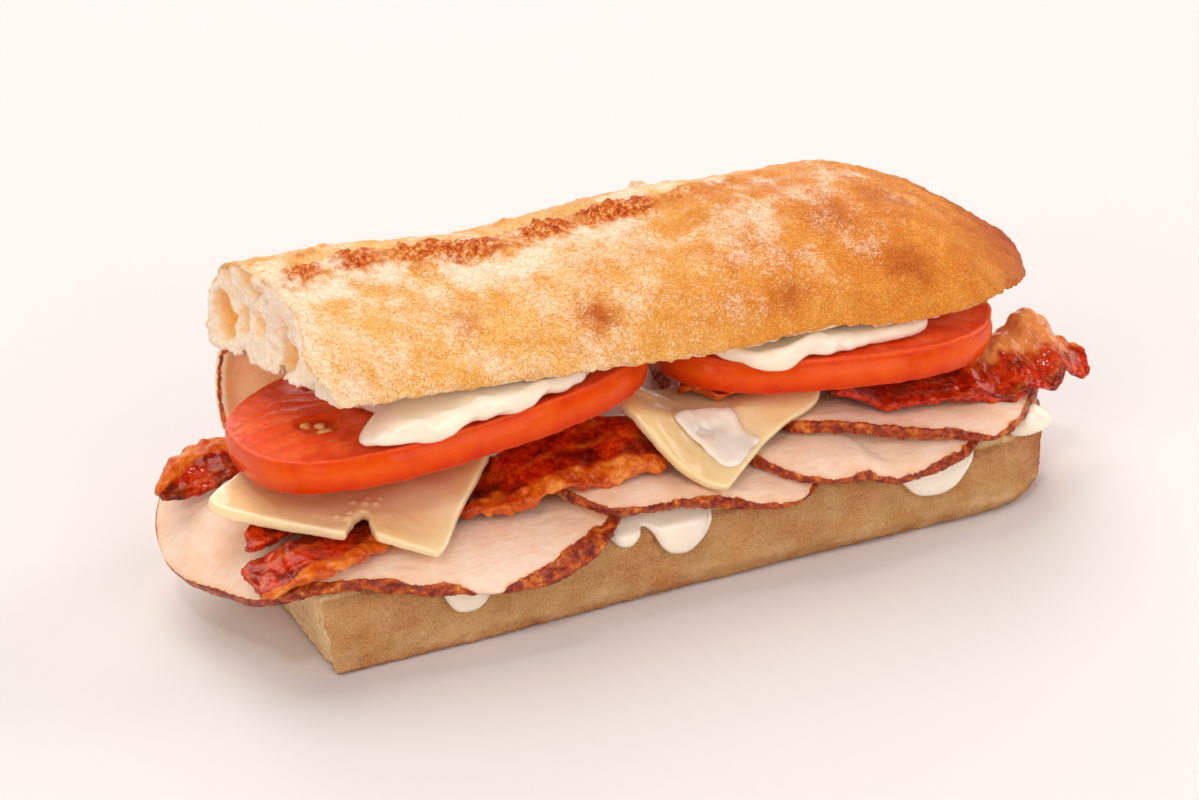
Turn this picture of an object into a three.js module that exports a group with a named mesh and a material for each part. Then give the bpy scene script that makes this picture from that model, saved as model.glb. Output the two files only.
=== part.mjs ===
// Half of a turkey, bacon, cheese and tomato sandwich in a baguette, cut across at its left end.
// Millimetres, +Z up, +X towards the rounded end of the loaf, -Y towards the front.
import * as THREE from "three";

// The loaf
const CUT_X = -75;
const HEEL_END_X = 79.2;
const HEEL_END_LENGTH = 26;
const LID_END_X = 76.5;
const LID_END_LENGTH = 32;
const LOAF_MIDDLE_Y = -0.5;
const LOAF_HALF_DEPTH = 30.5;
const HEEL_HEIGHT = 16.3;
const HEEL_LOWER_RADIUS = 1.6;
const HEEL_UPPER_RADIUS = 3.2;
const CUT_LEAN = 3;

// The lid's underside, at the cut and where the rounded end begins
const LID_UNDERSIDE_AT_CUT = 44.2;
const LID_UNDERSIDE_AT_END = 41.6;
const LID_TILT_AT_CUT = 10.6;
const LID_TILT_AT_END = 3;
const LID_CROWN_AT_CUT = 18.6;
const LID_CROWN_AT_END = 20;
const LID_CROWN_Y = 5;
const LID_CUT_SKEW = 3.4;
const LID_SET_BACK = 3;
const LID_FLAP = 3.6;
const LID_EDGE_RISE = 1.5;
const LID_TIP_SAG = 2.4;
const LID_TIP_DROP = 11;
const LID_BACK_END_LENGTH = 46;

// The fillings
const GAP = 0.45;
const TURKEY_THICKNESS = 2.5;
const CHEESE_THICKNESS = 2.1;
const BACON_THICKNESS = 1.9;
const TOMATO_THICKNESS = 6.2;
const MAYO_THICKNESS = 0.8;

// Heights above the heel of the middle of each sheet in the pile
const LIFT_MAYO = 1.3 * GAP + MAYO_THICKNESS / 2;
const LIFT_FIRST = LIFT_MAYO + (MAYO_THICKNESS + TURKEY_THICKNESS) / 2 + 2 * GAP;
const LIFT_SECOND = LIFT_FIRST + TURKEY_THICKNESS + GAP;
const LIFT_THIRD = LIFT_SECOND + TURKEY_THICKNESS + GAP;

// Sheets bend down around the heel's upper edges: the length of the bend, and how far it turns
const BEND_ARC = 6;
const SLICE_BEND = THREE.MathUtils.degToRad(56);
const MAYO_BEND = THREE.MathUtils.degToRad(86);

const COLOURS = {
  crust: 0xd9a463,
  heel: 0xcaa67c,
  mayo: 0xf7ecdc,
  turkey: 0xefd0b8,
  cheese: 0xecd097,
  bacon: 0x8c2f1b,
  tomato: 0xe0401f,
};

const sandwich = new THREE.Group();
const up = new THREE.Vector3(0, 0, 1);
const degrees = THREE.MathUtils.degToRad;
const ramp = THREE.MathUtils.smoothstep;
const mix = THREE.MathUtils.lerp;
const hump = (x, middle, spread) => Math.exp(-(((x - middle) / spread) ** 2));

// A smooth function of one value through [value, result] knots.
function through(knots) {
  const curve = new THREE.CubicInterpolant(
    knots.map((knot) => knot[0]),
    knots.map((knot) => knot[1]),
    1,
  );
  return (value) => curve.evaluate(value)[0];
}

// count points along a closed smooth line through [u, v] corners, or the corners themselves.
function closedLine(corners, count) {
  const points = corners.map(([u, v]) => new THREE.Vector3(u, v, 0));
  if (!count) return points;
  const line = new THREE.CatmullRomCurve3(points, true, "centripetal");
  return line.getSpacedPoints(count).slice(0, count);
}

// One closed mesh from points and triangles, turned so that its faces point out.
function addBody(name, points, triangles, colour, roughness) {
  let volume = 0;
  for (const [a, b, c] of triangles) {
    const normal = new THREE.Vector3().crossVectors(points[b], points[c]);
    volume += points[a].dot(normal);
  }
  const faces = volume > 0 ? triangles : triangles.map(([a, b, c]) => [a, c, b]);
  const geometry = new THREE.BufferGeometry().setFromPoints(points);
  geometry.setIndex(faces.flat());
  geometry.computeVertexNormals();
  const material = new THREE.MeshStandardMaterial({ color: colour, roughness, metalness: 0 });
  const mesh = new THREE.Mesh(geometry, material);
  mesh.name = name;
  sandwich.add(mesh);
}

// The triangles between two rings of count points that start at indices a and b.
function joinRings(triangles, a, b, count) {
  for (let i = 0; i < count; i++) {
    const j = (i + 1) % count;
    triangles.push([a + i, a + j, b + i], [a + j, b + j, b + i]);
  }
}

// A slice: a closed slab over an outline, with rings that shrink towards its middle by reaches.
// place(u, v, side, reach) gives a point; side is 1 on top and -1 below, reach is 1 at the rim.
function addSlice(name, colour, roughness, shape) {
  const { outline, middle, place, count, reaches = [1, 0.86, 0.5], bulge = 0 } = shape;
  const rim = closedLine(outline, count);
  const around = rim.length;
  const points = [];
  const triangles = [];
  const starts = { "1": [], "-1": [] };
  for (const side of [1, -1]) {
    for (const reach of reaches) {
      starts[side].push(points.length);
      for (const { x, y } of rim) {
        const u = mix(middle[0], x, reach);
        const v = mix(middle[1], y, reach);
        points.push(place(u, v, side, reach));
      }
    }
    points.push(place(middle[0], middle[1], side, 0));
    const hub = points.length - 1;
    reaches.slice(1).forEach((reach, k) => {
      const [outer, inner] = [starts[side][k], starts[side][k + 1]];
      if (side > 0) joinRings(triangles, outer, inner, around);
      else joinRings(triangles, inner, outer, around);
    });
    const last = starts[side].at(-1);
    for (let i = 0; i < around; i++) {
      const pair = [last + i, last + ((i + 1) % around)];
      triangles.push(side > 0 ? [pair[0], pair[1], hub] : [pair[1], pair[0], hub]);
    }
  }
  const [top, bottom] = [starts["1"][0], starts["-1"][0]];
  if (bulge) {
    const belt = points.length;
    rim.forEach(({ x, y }, i) => {
      const out = new THREE.Vector3(x - middle[0], y - middle[1], 0).setLength(bulge);
      points.push(points[top + i].clone().lerp(points[bottom + i], 0.5).add(out));
    });
    joinRings(triangles, bottom, belt, around);
    joinRings(triangles, belt, top, around);
  } else {
    joinRings(triangles, bottom, top, around);
  }
  addBody(name, points, triangles, colour, roughness);
}

// n + 1 even steps from 0 to 1.
const steps = (n) => Array.from({ length: n + 1 }, (_, i) => i / n);

// A strip or spread: a closed slab over a grid of stations, given as a list each way.
function addGrid(name, colour, roughness, { along, across, place }) {
  const ring = 2 * across.length;
  const points = [];
  const triangles = [];
  along.forEach((station, i) => {
    for (const step of across) points.push(place(station, step, 1));
    for (const step of across.toReversed()) points.push(place(station, step, -1));
    if (i) joinRings(triangles, ring * (i - 1), ring * i, ring);
  });
  for (const start of [0, ring * (along.length - 1)]) {
    for (let j = 0; j < across.length - 1; j++) {
      const [a, b] = [start + j, start + j + 1];
      const [c, d] = [start + ring - 2 - j, start + ring - 1 - j];
      const cap = [[a, c, b], [a, d, c]];
      triangles.push(...(start ? cap.map((face) => face.reverse()) : cap));
    }
  }
  addBody(name, points, triangles, colour, roughness);
}

// A loaf half: closed sections along X, a hollowed cut face and a closed tip.
function addLoaf(name, colour, { sections, hollow }) {
  const count = sections[0].length;
  const points = sections.flat();
  const triangles = [];
  for (let i = 1; i < sections.length; i++) {
    joinRings(triangles, count * (i - 1), count * i, count);
  }
  const centre = new THREE.Vector3();
  sections[0].forEach((point) => centre.addScaledVector(point, 1 / count));
  let outer = 0;
  for (const reach of [0.88, 0.5]) {
    const start = points.length;
    for (const point of sections[0]) {
      const inner = centre.clone().lerp(point, reach);
      inner.x += hollow(inner, reach);
      points.push(inner);
    }
    joinRings(triangles, start, outer, count);
    outer = start;
  }
  centre.x += hollow(centre, 0);
  points.push(centre);
  const hub = points.length - 1;
  for (let i = 0; i < count; i++) triangles.push([outer + ((i + 1) % count), outer + i, hub]);
  const last = count * (sections.length - 1);
  const tip = new THREE.Vector3();
  sections.at(-1).forEach((point) => tip.addScaledVector(point, 1 / count));
  points.push(tip);
  const end = points.length - 1;
  for (let i = 0; i < count; i++) triangles.push([last + i, last + ((i + 1) % count), end]);
  addBody(name, points, triangles, colour, 0.85);
}

// The share of the loaf's full depth that is left at x, where its end rounds off.
function endRounding(x, end, length, squareness) {
  const into = Math.max(0, (x - (end - length)) / length);
  return Math.sqrt(Math.max(0, 1 - into ** squareness));
}
const heelRounding = (x) => endRounding(x, HEEL_END_X, HEEL_END_LENGTH, 2.9);
const lidRounding = (x) => endRounding(x, LID_END_X, LID_END_LENGTH, 1.9);
const lidBackRounding = (x) => endRounding(x, LID_END_X, LID_BACK_END_LENGTH, 1.7);

// X values from the cut to the tip, closer together on the rounded end.
function loafStations(straight, rounded, end, length) {
  const start = end - length;
  const values = [];
  for (let i = 0; i < straight; i++) values.push(mix(CUT_X, start, i / straight));
  for (let i = 0; i <= rounded; i++) {
    values.push(start + length * 0.995 * Math.sin((i / rounded) * (Math.PI / 2)));
  }
  return values;
}

// The heel: flat below and above, with rounded edges and sides that swell a little.
function addHeel() {
  const stations = loafStations(16, 8, HEEL_END_X, HEEL_END_LENGTH);
  const sections = stations.map((x) => {
    const rounding = heelRounding(x);
    const half = LOAF_HALF_DEPTH * rounding;
    const lower = HEEL_LOWER_RADIUS * mix(0.4, 1, rounding);
    const upper = HEEL_UPPER_RADIUS * mix(0.4, 1, rounding);
    const lift = 0.6 * (1 - rounding) ** 1.5;
    const height = HEEL_HEIGHT - 1.8 * (1 - rounding) ** 2;
    const wave = 0.25 * Math.sin(x / 11) + 0.2 * Math.sin(x / 4.7 + 1);
    const section = [];
    const addPoint = (y, z) => {
      const lean = (-CUT_LEAN * z) / HEEL_HEIGHT;
      section.push(new THREE.Vector3(x + lean * ramp(-x, 0, -CUT_X), LOAF_MIDDLE_Y + y, z));
    };
    for (const side of [-1, 1]) {
      const edge = [];
      for (let k = 0; k <= 3; k++) {
        const turn = (k / 3) * (Math.PI / 2);
        edge.push([half - lower * (1 - Math.sin(turn)), lift + lower * (1 - Math.cos(turn))]);
      }
      edge.push([half + 0.5 * wave * rounding, mix(lift, height, 0.5)]);
      for (let k = 0; k <= 3; k++) {
        const turn = (k / 3) * (Math.PI / 2);
        edge.push([half - upper * (1 - Math.cos(turn)), height - upper * (1 - Math.sin(turn))]);
      }
      if (side > 0) edge.reverse();
      edge.forEach(([y, z]) => addPoint(side * y, z));
      if (side < 0) addPoint(0, height);
    }
    addPoint(0, lift);
    return section;
  });
  const hollow = (point, reach) => (1 - reach ** 4) * (1.1 + 0.5 * Math.sin(point.y / 4));
  addLoaf("bread_bottom", COLOURS.heel, { sections, hollow });
}

// The lid's underside: its height at the middle line, its tilt, front edge up, the arch in its
// front edge over the mayonnaise, and the crumb that sags onto the filling.
const lidMiddle = (x) =>
  mix(LID_UNDERSIDE_AT_CUT, LID_UNDERSIDE_AT_END, (x - CUT_X) / 130) +
  LID_EDGE_RISE * ramp(x, 34, 56) -
  LID_TIP_SAG * ramp(x, 60, LID_END_X);
const lidTilt = (x) => degrees(mix(LID_TILT_AT_CUT, LID_TILT_AT_END, ramp(x, CUT_X, 50)));
const lidArch = (x, y) => 2.2 * hump(x, 20, 13) * ramp(-y, 16, 29);
const lidSag = (x, y) =>
  mix(2.4, 1.2, ramp(x, -20, 10)) * hump(y, 9, 12) * ramp(x, -74, -55) * ramp(-x, -60, -30);
const lidUnderside = (x, y) =>
  lidMiddle(x) - (y - LOAF_MIDDLE_Y) * Math.tan(lidTilt(x)) + lidArch(x, y) - lidSag(x, y);

// The lid's crust: a dome whose front slopes gently and whose back stands steep,
// with a baked score along its crown: a raised, blistered lip and a torn valley behind it.
function addLid() {
  const blisters = [-64, -52, -40, -29, -17, 3, 11, 38].map((x, i) => [x, 3.2 + (i % 3)]);
  const stations = loafStations(21, 9, LID_END_X, LID_END_LENGTH);
  const sections = stations.map((x) => {
    const rounding = lidRounding(x);
    const half = LOAF_HALF_DEPTH * rounding;
    const backHalf = LOAF_HALF_DEPTH * lidBackRounding(x);
    const tilt = lidTilt(x);
    const crown = mix(LID_CROWN_AT_CUT, LID_CROWN_AT_END, ramp(x, -15, 10)) - hump(x, -30, 22);
    const endDrop = LID_TIP_DROP * ramp(x, 34, LID_END_X);
    const height = (crown - endDrop) * mix(0.25, 1, rounding);
    const fullness = mix(1.45, 1.9, ramp(x, -60, 30));
    const lip = ramp(-x, -60, -30);
    const blister = blisters.reduce((sum, [at, width]) => sum + hump(x, at, width), 0);
    const section = [];
    const addPoint = (y, z) => {
      const turned = new THREE.Vector3(x, y * Math.cos(tilt) + z * Math.sin(tilt), 0);
      turned.z = lidMiddle(x) - y * Math.sin(tilt) + z * Math.cos(tilt);
      turned.y += LOAF_MIDDLE_Y;
      turned.x -= 0.5 * LID_CUT_SKEW * (1 + y / half) * ramp(-x, 30, -CUT_X);
      turned.x += LID_SET_BACK * ramp(-x, 30, -CUT_X);
      turned.x -= LID_FLAP * ramp(-y, 14, 24) * hump(z, 7, 4.5) * ramp(-x, 50, -CUT_X);
      section.push(turned);
    };
    for (const share of steps(19)) {
      const turn = share * Math.PI;
      const front = share < 0.5;
      const reach = Math.abs(Math.cos(turn));
      const crownAt = LID_CROWN_Y * lidBackRounding(x);
      const span = front ? half + crownAt : backHalf - crownAt;
      const y = crownAt + (front ? -1 : 1) * span * reach;
      const power = front ? fullness : 2.1;
      let z = height * (1 - reach ** power) ** (1 / power);
      z += lip * (1.1 + 1.1 * blister) * hump(y, -1, 2.6);
      z -= lip * 1.7 * hump(y, 5, 2.8);
      z += 0.5 * Math.sin(x / 9 + y / 7) * Math.sin(turn);
      addPoint(y, Math.max(z, lidArch(x, y) + 0.02));
    }
    for (let k = 1; k < 6; k++) {
      const share = mix(1, -1, k / 6);
      const y = share * (share > 0 ? backHalf : half);
      const uneven = 0.35 * Math.sin(x / 6 + 3 * share) * (1 - Math.abs(share));
      addPoint(y, uneven + lidArch(x, y) - lidSag(x, y));
    }
    return section;
  });
  const hollow = ({ y, z }, reach) => {
    const pocket = 4.5 * hump(y, -8, 9) * hump(z, 50, 6) + 2 * hump(y, 15, 7) * hump(z, 50, 6);
    return (1 - reach ** 4) * (0.8 + pocket);
  };
  addLoaf("bread_top", COLOURS.crust, { sections, hollow });
}

// A point of a sheet that lies on the heel: across is measured along the sheet from the middle
// line, and past either upper edge of the heel the sheet bends down, by up to limit.
function lay(x, across, lift, limit = SLICE_BEND) {
  const flat = LOAF_HALF_DEPTH * Math.max(0.5, heelRounding(x)) - HEEL_UPPER_RADIUS;
  const from = across - LOAF_MIDDLE_Y;
  const over = Math.abs(from) - flat;
  if (over <= 0) return new THREE.Vector3(x, across, HEEL_HEIGHT + lift);
  const turn = Math.min(over / BEND_ARC, limit);
  const rest = over - turn * BEND_ARC;
  const radius = HEEL_UPPER_RADIUS + lift;
  const out = flat + radius * Math.sin(turn) + rest * Math.cos(turn);
  const drop = HEEL_UPPER_RADIUS - radius * Math.cos(turn) + rest * Math.sin(turn);
  return new THREE.Vector3(x, LOAF_MIDDLE_Y + Math.sign(from) * out, HEEL_HEIGHT - drop);
}

// The mayonnaise on the heel: tongues of it run down the heel's front, and a dollop of it
// bulges over the heel's rounded end. Each tongue is [x, half width, run].
function addBaseMayo() {
  const tongues = [
    [-51, 5.5, 14.6],
    [-20.5, 3, 8.5],
    [-9.5, 6, 13],
    [43, 8.6, 12.5],
    [66, 6.5, 6.5],
  ];
  const spots = [];
  for (let i = 0; i <= 8; i++) spots.push(mix(-72, 73, i / 8));
  for (const [at, width] of tongues) {
    for (const step of [-1.2, -0.95, -0.55, 0, 0.55, 0.95, 1.2]) spots.push(at + step * width);
  }
  spots.sort((a, b) => a - b);
  const along = spots.filter((x, i) => !i || x - spots[i - 1] > 0.9);
  const edge = 0.5;
  const place = (x, share, side) => {
    const half = (LOAF_HALF_DEPTH - HEEL_UPPER_RADIUS) * heelRounding(Math.min(x + 3, 76));
    const run = (sum, [at, width, length]) => sum + length * Math.exp(-(((x - at) / width) ** 4));
    const back = half * (1 + 0.03 * Math.sin(x / 5));
    const front = -half - tongues.reduce(run, 0.6 * Math.sin(x / 6) + 0.7);
    const turn = LOAF_MIDDLE_Y - half;
    const flatPart = mix(back, turn, Math.min(share / edge, 1));
    const across = share > edge ? mix(turn, front, (share - edge) / (1 - edge)) : flatPart;
    const dollop = side > 0 ? 3.2 * hump(x, 66, 5) * hump(across, -29, 2.6) : 0;
    return lay(x, across, LIFT_MAYO + (side * MAYO_THICKNESS) / 2 + dollop, MAYO_BEND);
  };
  const across = [0, 0.25, edge, 0.62, 0.74, 0.87, 1];
  addGrid("mayo_base", COLOURS.mayo, 0.35, { along, across, place });
}

// A slice of turkey. lift(x, across) is the height of its middle above the heel, and
// droop(x) lowers what hangs past the cut end.
function addTurkey(name, { outline, middle, lift, droop = () => 0 }) {
  const place = (x, across, side) => {
    const point = lay(x, across, lift(x, across) + (side * TURKEY_THICKNESS) / 2);
    point.z -= droop(x, across);
    point.x += 0.45 * side * (droop(x - 0.5, across) - droop(x + 0.5, across)) * -TURKEY_THICKNESS;
    return point;
  };
  const reaches = [1, 0.9, 0.74, 0.4];
  addSlice(name, COLOURS.turkey, 0.55, { outline, middle, place, count: 26, reaches });
}

function addTurkeySlices() {
  addTurkey("turkey_left", {
    outline: [
      [-86.5, -24.5], [-90.5, -15], [-93.5, -4], [-94, 7], [-90, 17], [-80, 22], [-62, 25], [-40, 27],
      [-22, 24], [-16, 8], [-16, -12], [-19, -29], [-23, -34.4], [-30, -37.8], [-38, -40.2],
      [-46.5, -39.2], [-49.5, -36.4], [-54.5, -38.4], [-61, -36.6], [-68, -33.4], [-78, -32.5],
    ],
    middle: [-52, -3],
    lift: (x, across) => LIFT_FIRST + 0.9 * hump(x, -74, 7) * ramp(-across, 15, 28),
    droop: (x, across) => {
      const past = Math.max(0, -78.5 - x);
      const corner = 0.38 * past * ramp(-across, 12, 26);
      return 0.125 * past ** 1.6 * (1.05 - 0.65 * ramp(across, -2, 16)) + corner;
    },
  });
  addTurkey("turkey_middle", {
    outline: [
      [-32, -20], [-31, -29], [-24, -32], [-14, -32.2], [-4, -32.8], [5, -35.6], [12, -36.4],
      [18, -34.6], [20, -29], [19, -15], [18.5, 6], [14, 25], [-4, 28], [-20, 24], [-27, 10], [-31, -4],
    ],
    middle: [-6, -4],
    lift: (x) => mix(LIFT_FIRST, LIFT_SECOND, ramp(-x, 4, 15)) + 1.2 * ramp(-x, 22, 32),
  });
  addTurkey("turkey_right_lower", {
    outline: [
      [5, -20], [5.5, -28.5], [9, -31.6], [14, -33.2], [19, -34.2], [25, -34.6], [28.5, -33.4],
      [30, -36.4], [36.5, -36.4], [43, -35.6], [49, -34.8], [54, -31.6], [57, -24], [58, -12],
      [56, 8], [46, 25], [26, 28.5], [12, 24], [6, 6],
    ],
    middle: [30, -4],
    lift: (x) => mix(LIFT_FIRST, LIFT_SECOND, ramp(-x, -34, -23)),
  });
  addTurkey("turkey_right_upper", {
    outline: [
      [15, -18], [16, -26.5], [24, -28.6], [33, -29.8], [42, -31], [50, -32.6], [56, -33.8],
      [60, -32], [65, -28.4], [71, -23.4], [77, -13.4], [76.5, 0], [70, 12], [57, 22], [38, 27],
      [22, 23], [15, 4],
    ],
    middle: [42, -2],
    lift: (x) =>
      mix(LIFT_SECOND, LIFT_THIRD, ramp(-x, -38, -27)) -
      (LIFT_SECOND - LIFT_FIRST) * ramp(x, 63, 73),
  });
}

// The slice that is folded up behind the tomato, from the cut end along the back.
function addTurkeyFold() {
  const path = [[-74, 21.6], [-70, 24.2], [-64, 26], [-55, 27], [-43, 27.4], [-34, 26]];
  const foot = new THREE.CatmullRomCurve3(path.map(([x, y]) => new THREE.Vector3(x, y, 0)));
  const top = through([[0, 37.4], [0.2, 37.6], [0.5, 35.6], [0.8, 32], [1, 27]]);
  const low = HEEL_HEIGHT + LIFT_FIRST + TURKEY_THICKNESS / 2 + GAP;
  const place = (along, share, side) => {
    const at = foot.getPointAt(along);
    const tangent = foot.getTangentAt(along);
    const out = new THREE.Vector3().crossVectors(up, tangent).normalize();
    const lean = 1.2 * Math.sin(share * Math.PI) + 1.1 * Math.sin(7 * along) * share;
    at.addScaledVector(out, lean + (side * TURKEY_THICKNESS) / 2);
    at.z = mix(low, top(along), share);
    return at;
  };
  const grid = { along: steps(14), across: steps(4), place };
  addGrid("turkey_back_fold", COLOURS.turkey, 0.55, grid);
}

// A rasher of bacon along a path of [x, y, z] points. bank tips it about its length, curl turns
// that tip from one end to the other, ripple grows towards the end by growth, and point and tail
// narrow its first and its last end.
function addBacon(name, shape) {
  const { path, width, bank = 0, curl = 0, ripple = 0.5, waves = 3 } = shape;
  const { growth = 1, point = 0, tail = 0, count = 18 } = shape;
  const line = new THREE.CatmullRomCurve3(path.map((point) => new THREE.Vector3(...point)));
  const place = (share, across, side) => {
    const at = line.getPoint(share);
    const tangent = line.getTangent(share);
    const flat = new THREE.Vector3().crossVectors(up, tangent).normalize();
    const normal = new THREE.Vector3().crossVectors(tangent, flat).normalize();
    const tip = degrees(bank + curl * (share - 0.5));
    const sideways = flat.clone().multiplyScalar(Math.cos(tip));
    sideways.addScaledVector(normal, Math.sin(tip));
    const outward = normal.clone().multiplyScalar(Math.cos(tip));
    outward.addScaledVector(flat, -Math.sin(tip));
    const narrow = point * (1 - ramp(share, 0, 0.32)) + tail * ramp(share, 0.8, 1);
    const taper = 1 - 0.35 * Math.abs(2 * share - 1) ** 6 - narrow;
    const wander = 0.06 * Math.sin(9 * share + across);
    const wave = Math.sin(waves * 2 * Math.PI * share + 1.4 * across) * mix(1, 0.55, across);
    const thickness = BACON_THICKNESS * (0.86 + 0.14 * Math.cos(5 * share + 6 * across));
    at.addScaledVector(sideways, (across - 0.5 + wander) * width * taper);
    at.addScaledVector(outward, ripple * mix(1, growth, share) * wave + (side * thickness) / 2);
    return at;
  };
  addGrid(name, COLOURS.bacon, 0.4, { along: steps(count), across: steps(3), place });
}

function addBaconRashers() {
  addBacon("bacon_front_left", {
    path: [[-89, -28, 19.6], [-81, -27.5, 21.8], [-71, -26, 23.1], [-62, -23, 22.5]],
    width: 12.5,
    bank: 3,
    ripple: 0.3,
    waves: 2.5,
    count: 14,
  });
  addBacon("bacon_front_left_under", {
    path: [
      [-86.5, -21.7, 22.9], [-81, -16.9, 23.2], [-74, -14.2, 23.3], [-62, -11, 23.2],
      [-50, -7, 23.2], [-38, -3, 23.2],
    ],
    width: 9,
    ripple: 0.3,
    point: 0.42,
  });
  addBacon("bacon_back_left", {
    path: [
      [-93.6, 6, 21.6], [-89, 7.8, 22.6], [-84, 9.4, 24.2], [-79, 9.8, 25.1], [-73, 9, 24.3],
      [-58, 8.4, 22.9], [-38, 11, 23.1],
    ],
    width: 11,
    bank: 18,
    curl: -38,
    ripple: 0.35,
    point: 0.5,
    count: 20,
  });
  addBacon("bacon_middle", {
    path: [
      [-50, -19.5, 23.2], [-42, -20.5, 24], [-32, -22, 28], [-21, -22.8, 27.8], [-9.5, -23.4, 27],
    ],
    width: 15,
    bank: 18,
    curl: 26,
    ripple: 0.5,
    waves: 2.5,
  });
  addBacon("bacon_inner", {
    path: [[0, -11.5, 31.9], [4, -14, 31.9], [8, -15, 31.8], [12.5, -14, 31.8]],
    width: 8,
    ripple: 0.2,
    waves: 1.5,
    count: 10,
  });
  addBacon("bacon_right", {
    path: [
      [26, -19.4, 29.6], [38, -20.6, 27.8], [49, -20.8, 26.6], [57, -21.2, 26.4], [64, -21, 26.2],
      [70, -20.4, 26], [75.5, -19.6, 26], [83.7, -20.4, 22.4],
    ],
    width: 16.5,
    bank: 8,
    curl: 34,
    ripple: 0.35,
    growth: 3.6,
    waves: 5,
    tail: 0.3,
    count: 26,
  });
  addBacon("bacon_back_right", {
    path: [[2, 20, 28.8], [16, 22, 28.8], [30, 22, 28], [46, 20, 26], [62, 15, 25.4]],
    width: 12,
    bank: -4,
  });
}

// The left slice lies flat with a torn corner that drops; the right one hangs over the front.
function addCheese() {
  const place = (x, across, side) => {
    const dropped = ramp(x, -66, -56) * ramp(-across, 22, 31);
    const raised = 9.7 + 3 * ramp(x, -52, -40);
    const lift = mix(raised, LIFT_SECOND + 0.7, dropped);
    return lay(x, across, lift + (side * CHEESE_THICKNESS) / 2);
  };
  addSlice("cheese_left", COLOURS.cheese, 0.35, {
    outline: [
      [-89.5, -9], [-88.5, -12], [-85, -16.5], [-81.5, -20.5], [-77.5, -24.5], [-74, -28],
      [-72.2, -28.6], [-70.6, -27.2], [-68.8, -25], [-66.6, -23.4], [-66.2, -25], [-67.2, -27.6],
      [-67.4, -29.4], [-65.4, -30.2], [-61.5, -31.2], [-57.5, -32], [-55, -31], [-52, -28.4],
      [-47, -24.5], [-42, -19.5], [-37.5, -14], [-36.5, -8], [-39, -2], [-46, 5], [-54, 7.5],
      [-62, 8], [-70, 6], [-77, 2], [-84, -3], [-88, -6.5],
    ],
    middle: [-62, -10],
    place,
  });
  const slope = degrees(33);
  const hang = (x, v, side) => {
    const over = Math.max(0, -v);
    const turn = slope * ramp(over, 0, 5);
    const propped = 4.8 * ramp(-x, 4, 11) * mix(1, 0.3, ramp(over, 3, 11));
    const corner = 1.1 * ramp(x, 8, 18);
    const y = -21 + Math.max(v, 0) - over * Math.cos(turn);
    const z = 29.2 + propped + corner - over * Math.sin(turn) * mix(1, 0.64, ramp(x, 0, 10));
    const half = (side * CHEESE_THICKNESS) / 2;
    return new THREE.Vector3(x, y - half * Math.sin(turn), z + half * Math.cos(turn));
  };
  addSlice("cheese_right", COLOURS.cheese, 0.35, {
    outline: [
      [-16, 1], [-13, -6], [-6.5, -13], [-2.6, -15.5], [2.6, -12.6], [12.5, -7.5], [21, -4.5], [24, -1],
      [23, 7], [14, 12], [-2, 12], [-12, 8],
    ],
    middle: [3, -1],
    place: hang,
    count: 28,
  });
}

// A slice of tomato: a flat round, squarer at its front, tilted about X and about Y.
function addTomato(name, { middle, reach, turn, tiltX, tiltY }) {
  const corners = 36;
  const outline = [];
  for (let i = 0; i < corners; i++) {
    const angle = (i / corners) * 2 * Math.PI;
    const [c, s] = [Math.cos(angle), Math.sin(angle)];
    const lobes = 1 + 0.012 * Math.cos(3 * angle + 1) + 0.008 * Math.cos(5 * angle);
    const square = s < 0 ? 2.7 : 2.1;
    const size = lobes / (Math.abs(c) ** square + Math.abs(s) ** square) ** (1 / square);
    const [u, v] = [reach[0] * size * c, reach[1] * size * s];
    outline.push([u * Math.cos(turn) - v * Math.sin(turn), u * Math.sin(turn) + v * Math.cos(turn)]);
  }
  const tilt = new THREE.Euler(degrees(tiltX), degrees(tiltY), 0);
  const place = (u, v, side, rim) => {
    const thickness = TOMATO_THICKNESS * mix(1, 0.93, rim ** 4);
    const point = new THREE.Vector3(u, v, (side * thickness) / 2).applyEuler(tilt);
    return point.add(new THREE.Vector3(...middle));
  };
  const shape = { outline, middle: [0, 0], place, reaches: [1, 0.55], bulge: 0.8 };
  addSlice(name, COLOURS.tomato, 0.25, shape);
}

// Mayonnaise pressed out between a tomato slice and the lid: a lens that is thickest at its front.
function addSpread(name, { outline, middle, floor, ceiling, full }) {
  const place = (x, y, side, reach) => {
    const low = floor(x, y) + 0.35;
    const room = Math.max(0.5, Math.min(full(x, y), ceiling(x, y) - 0.4 - low));
    const round = mix(1, 0.45, reach ** 5);
    const centre = low + room * 0.5;
    return new THREE.Vector3(x, y, centre + side * 0.5 * room * round);
  };
  addSlice(name, COLOURS.mayo, 0.3, { outline, middle, place, count: 26 });
}

const TOMATO_LEFT = {
  middle: [-45, -3.6, 35.3],
  reach: [38.1, 27.6],
  turn: degrees(3),
  tiltX: -8,
  tiltY: -5,
};
const TOMATO_RIGHT = {
  middle: [31.2, -3.5, 35.3],
  reach: [33.2, 27.5],
  turn: degrees(-9),
  tiltX: -2,
  tiltY: 1.6,
};

// The height of a tomato slice's upper face.
function tomatoTop({ middle, tiltX, tiltY }) {
  return (x, y) =>
    middle[2] +
    TOMATO_THICKNESS / 2 +
    (y - middle[1]) * Math.tan(degrees(tiltX)) -
    (x - middle[0]) * Math.tan(degrees(tiltY));
}

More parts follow.
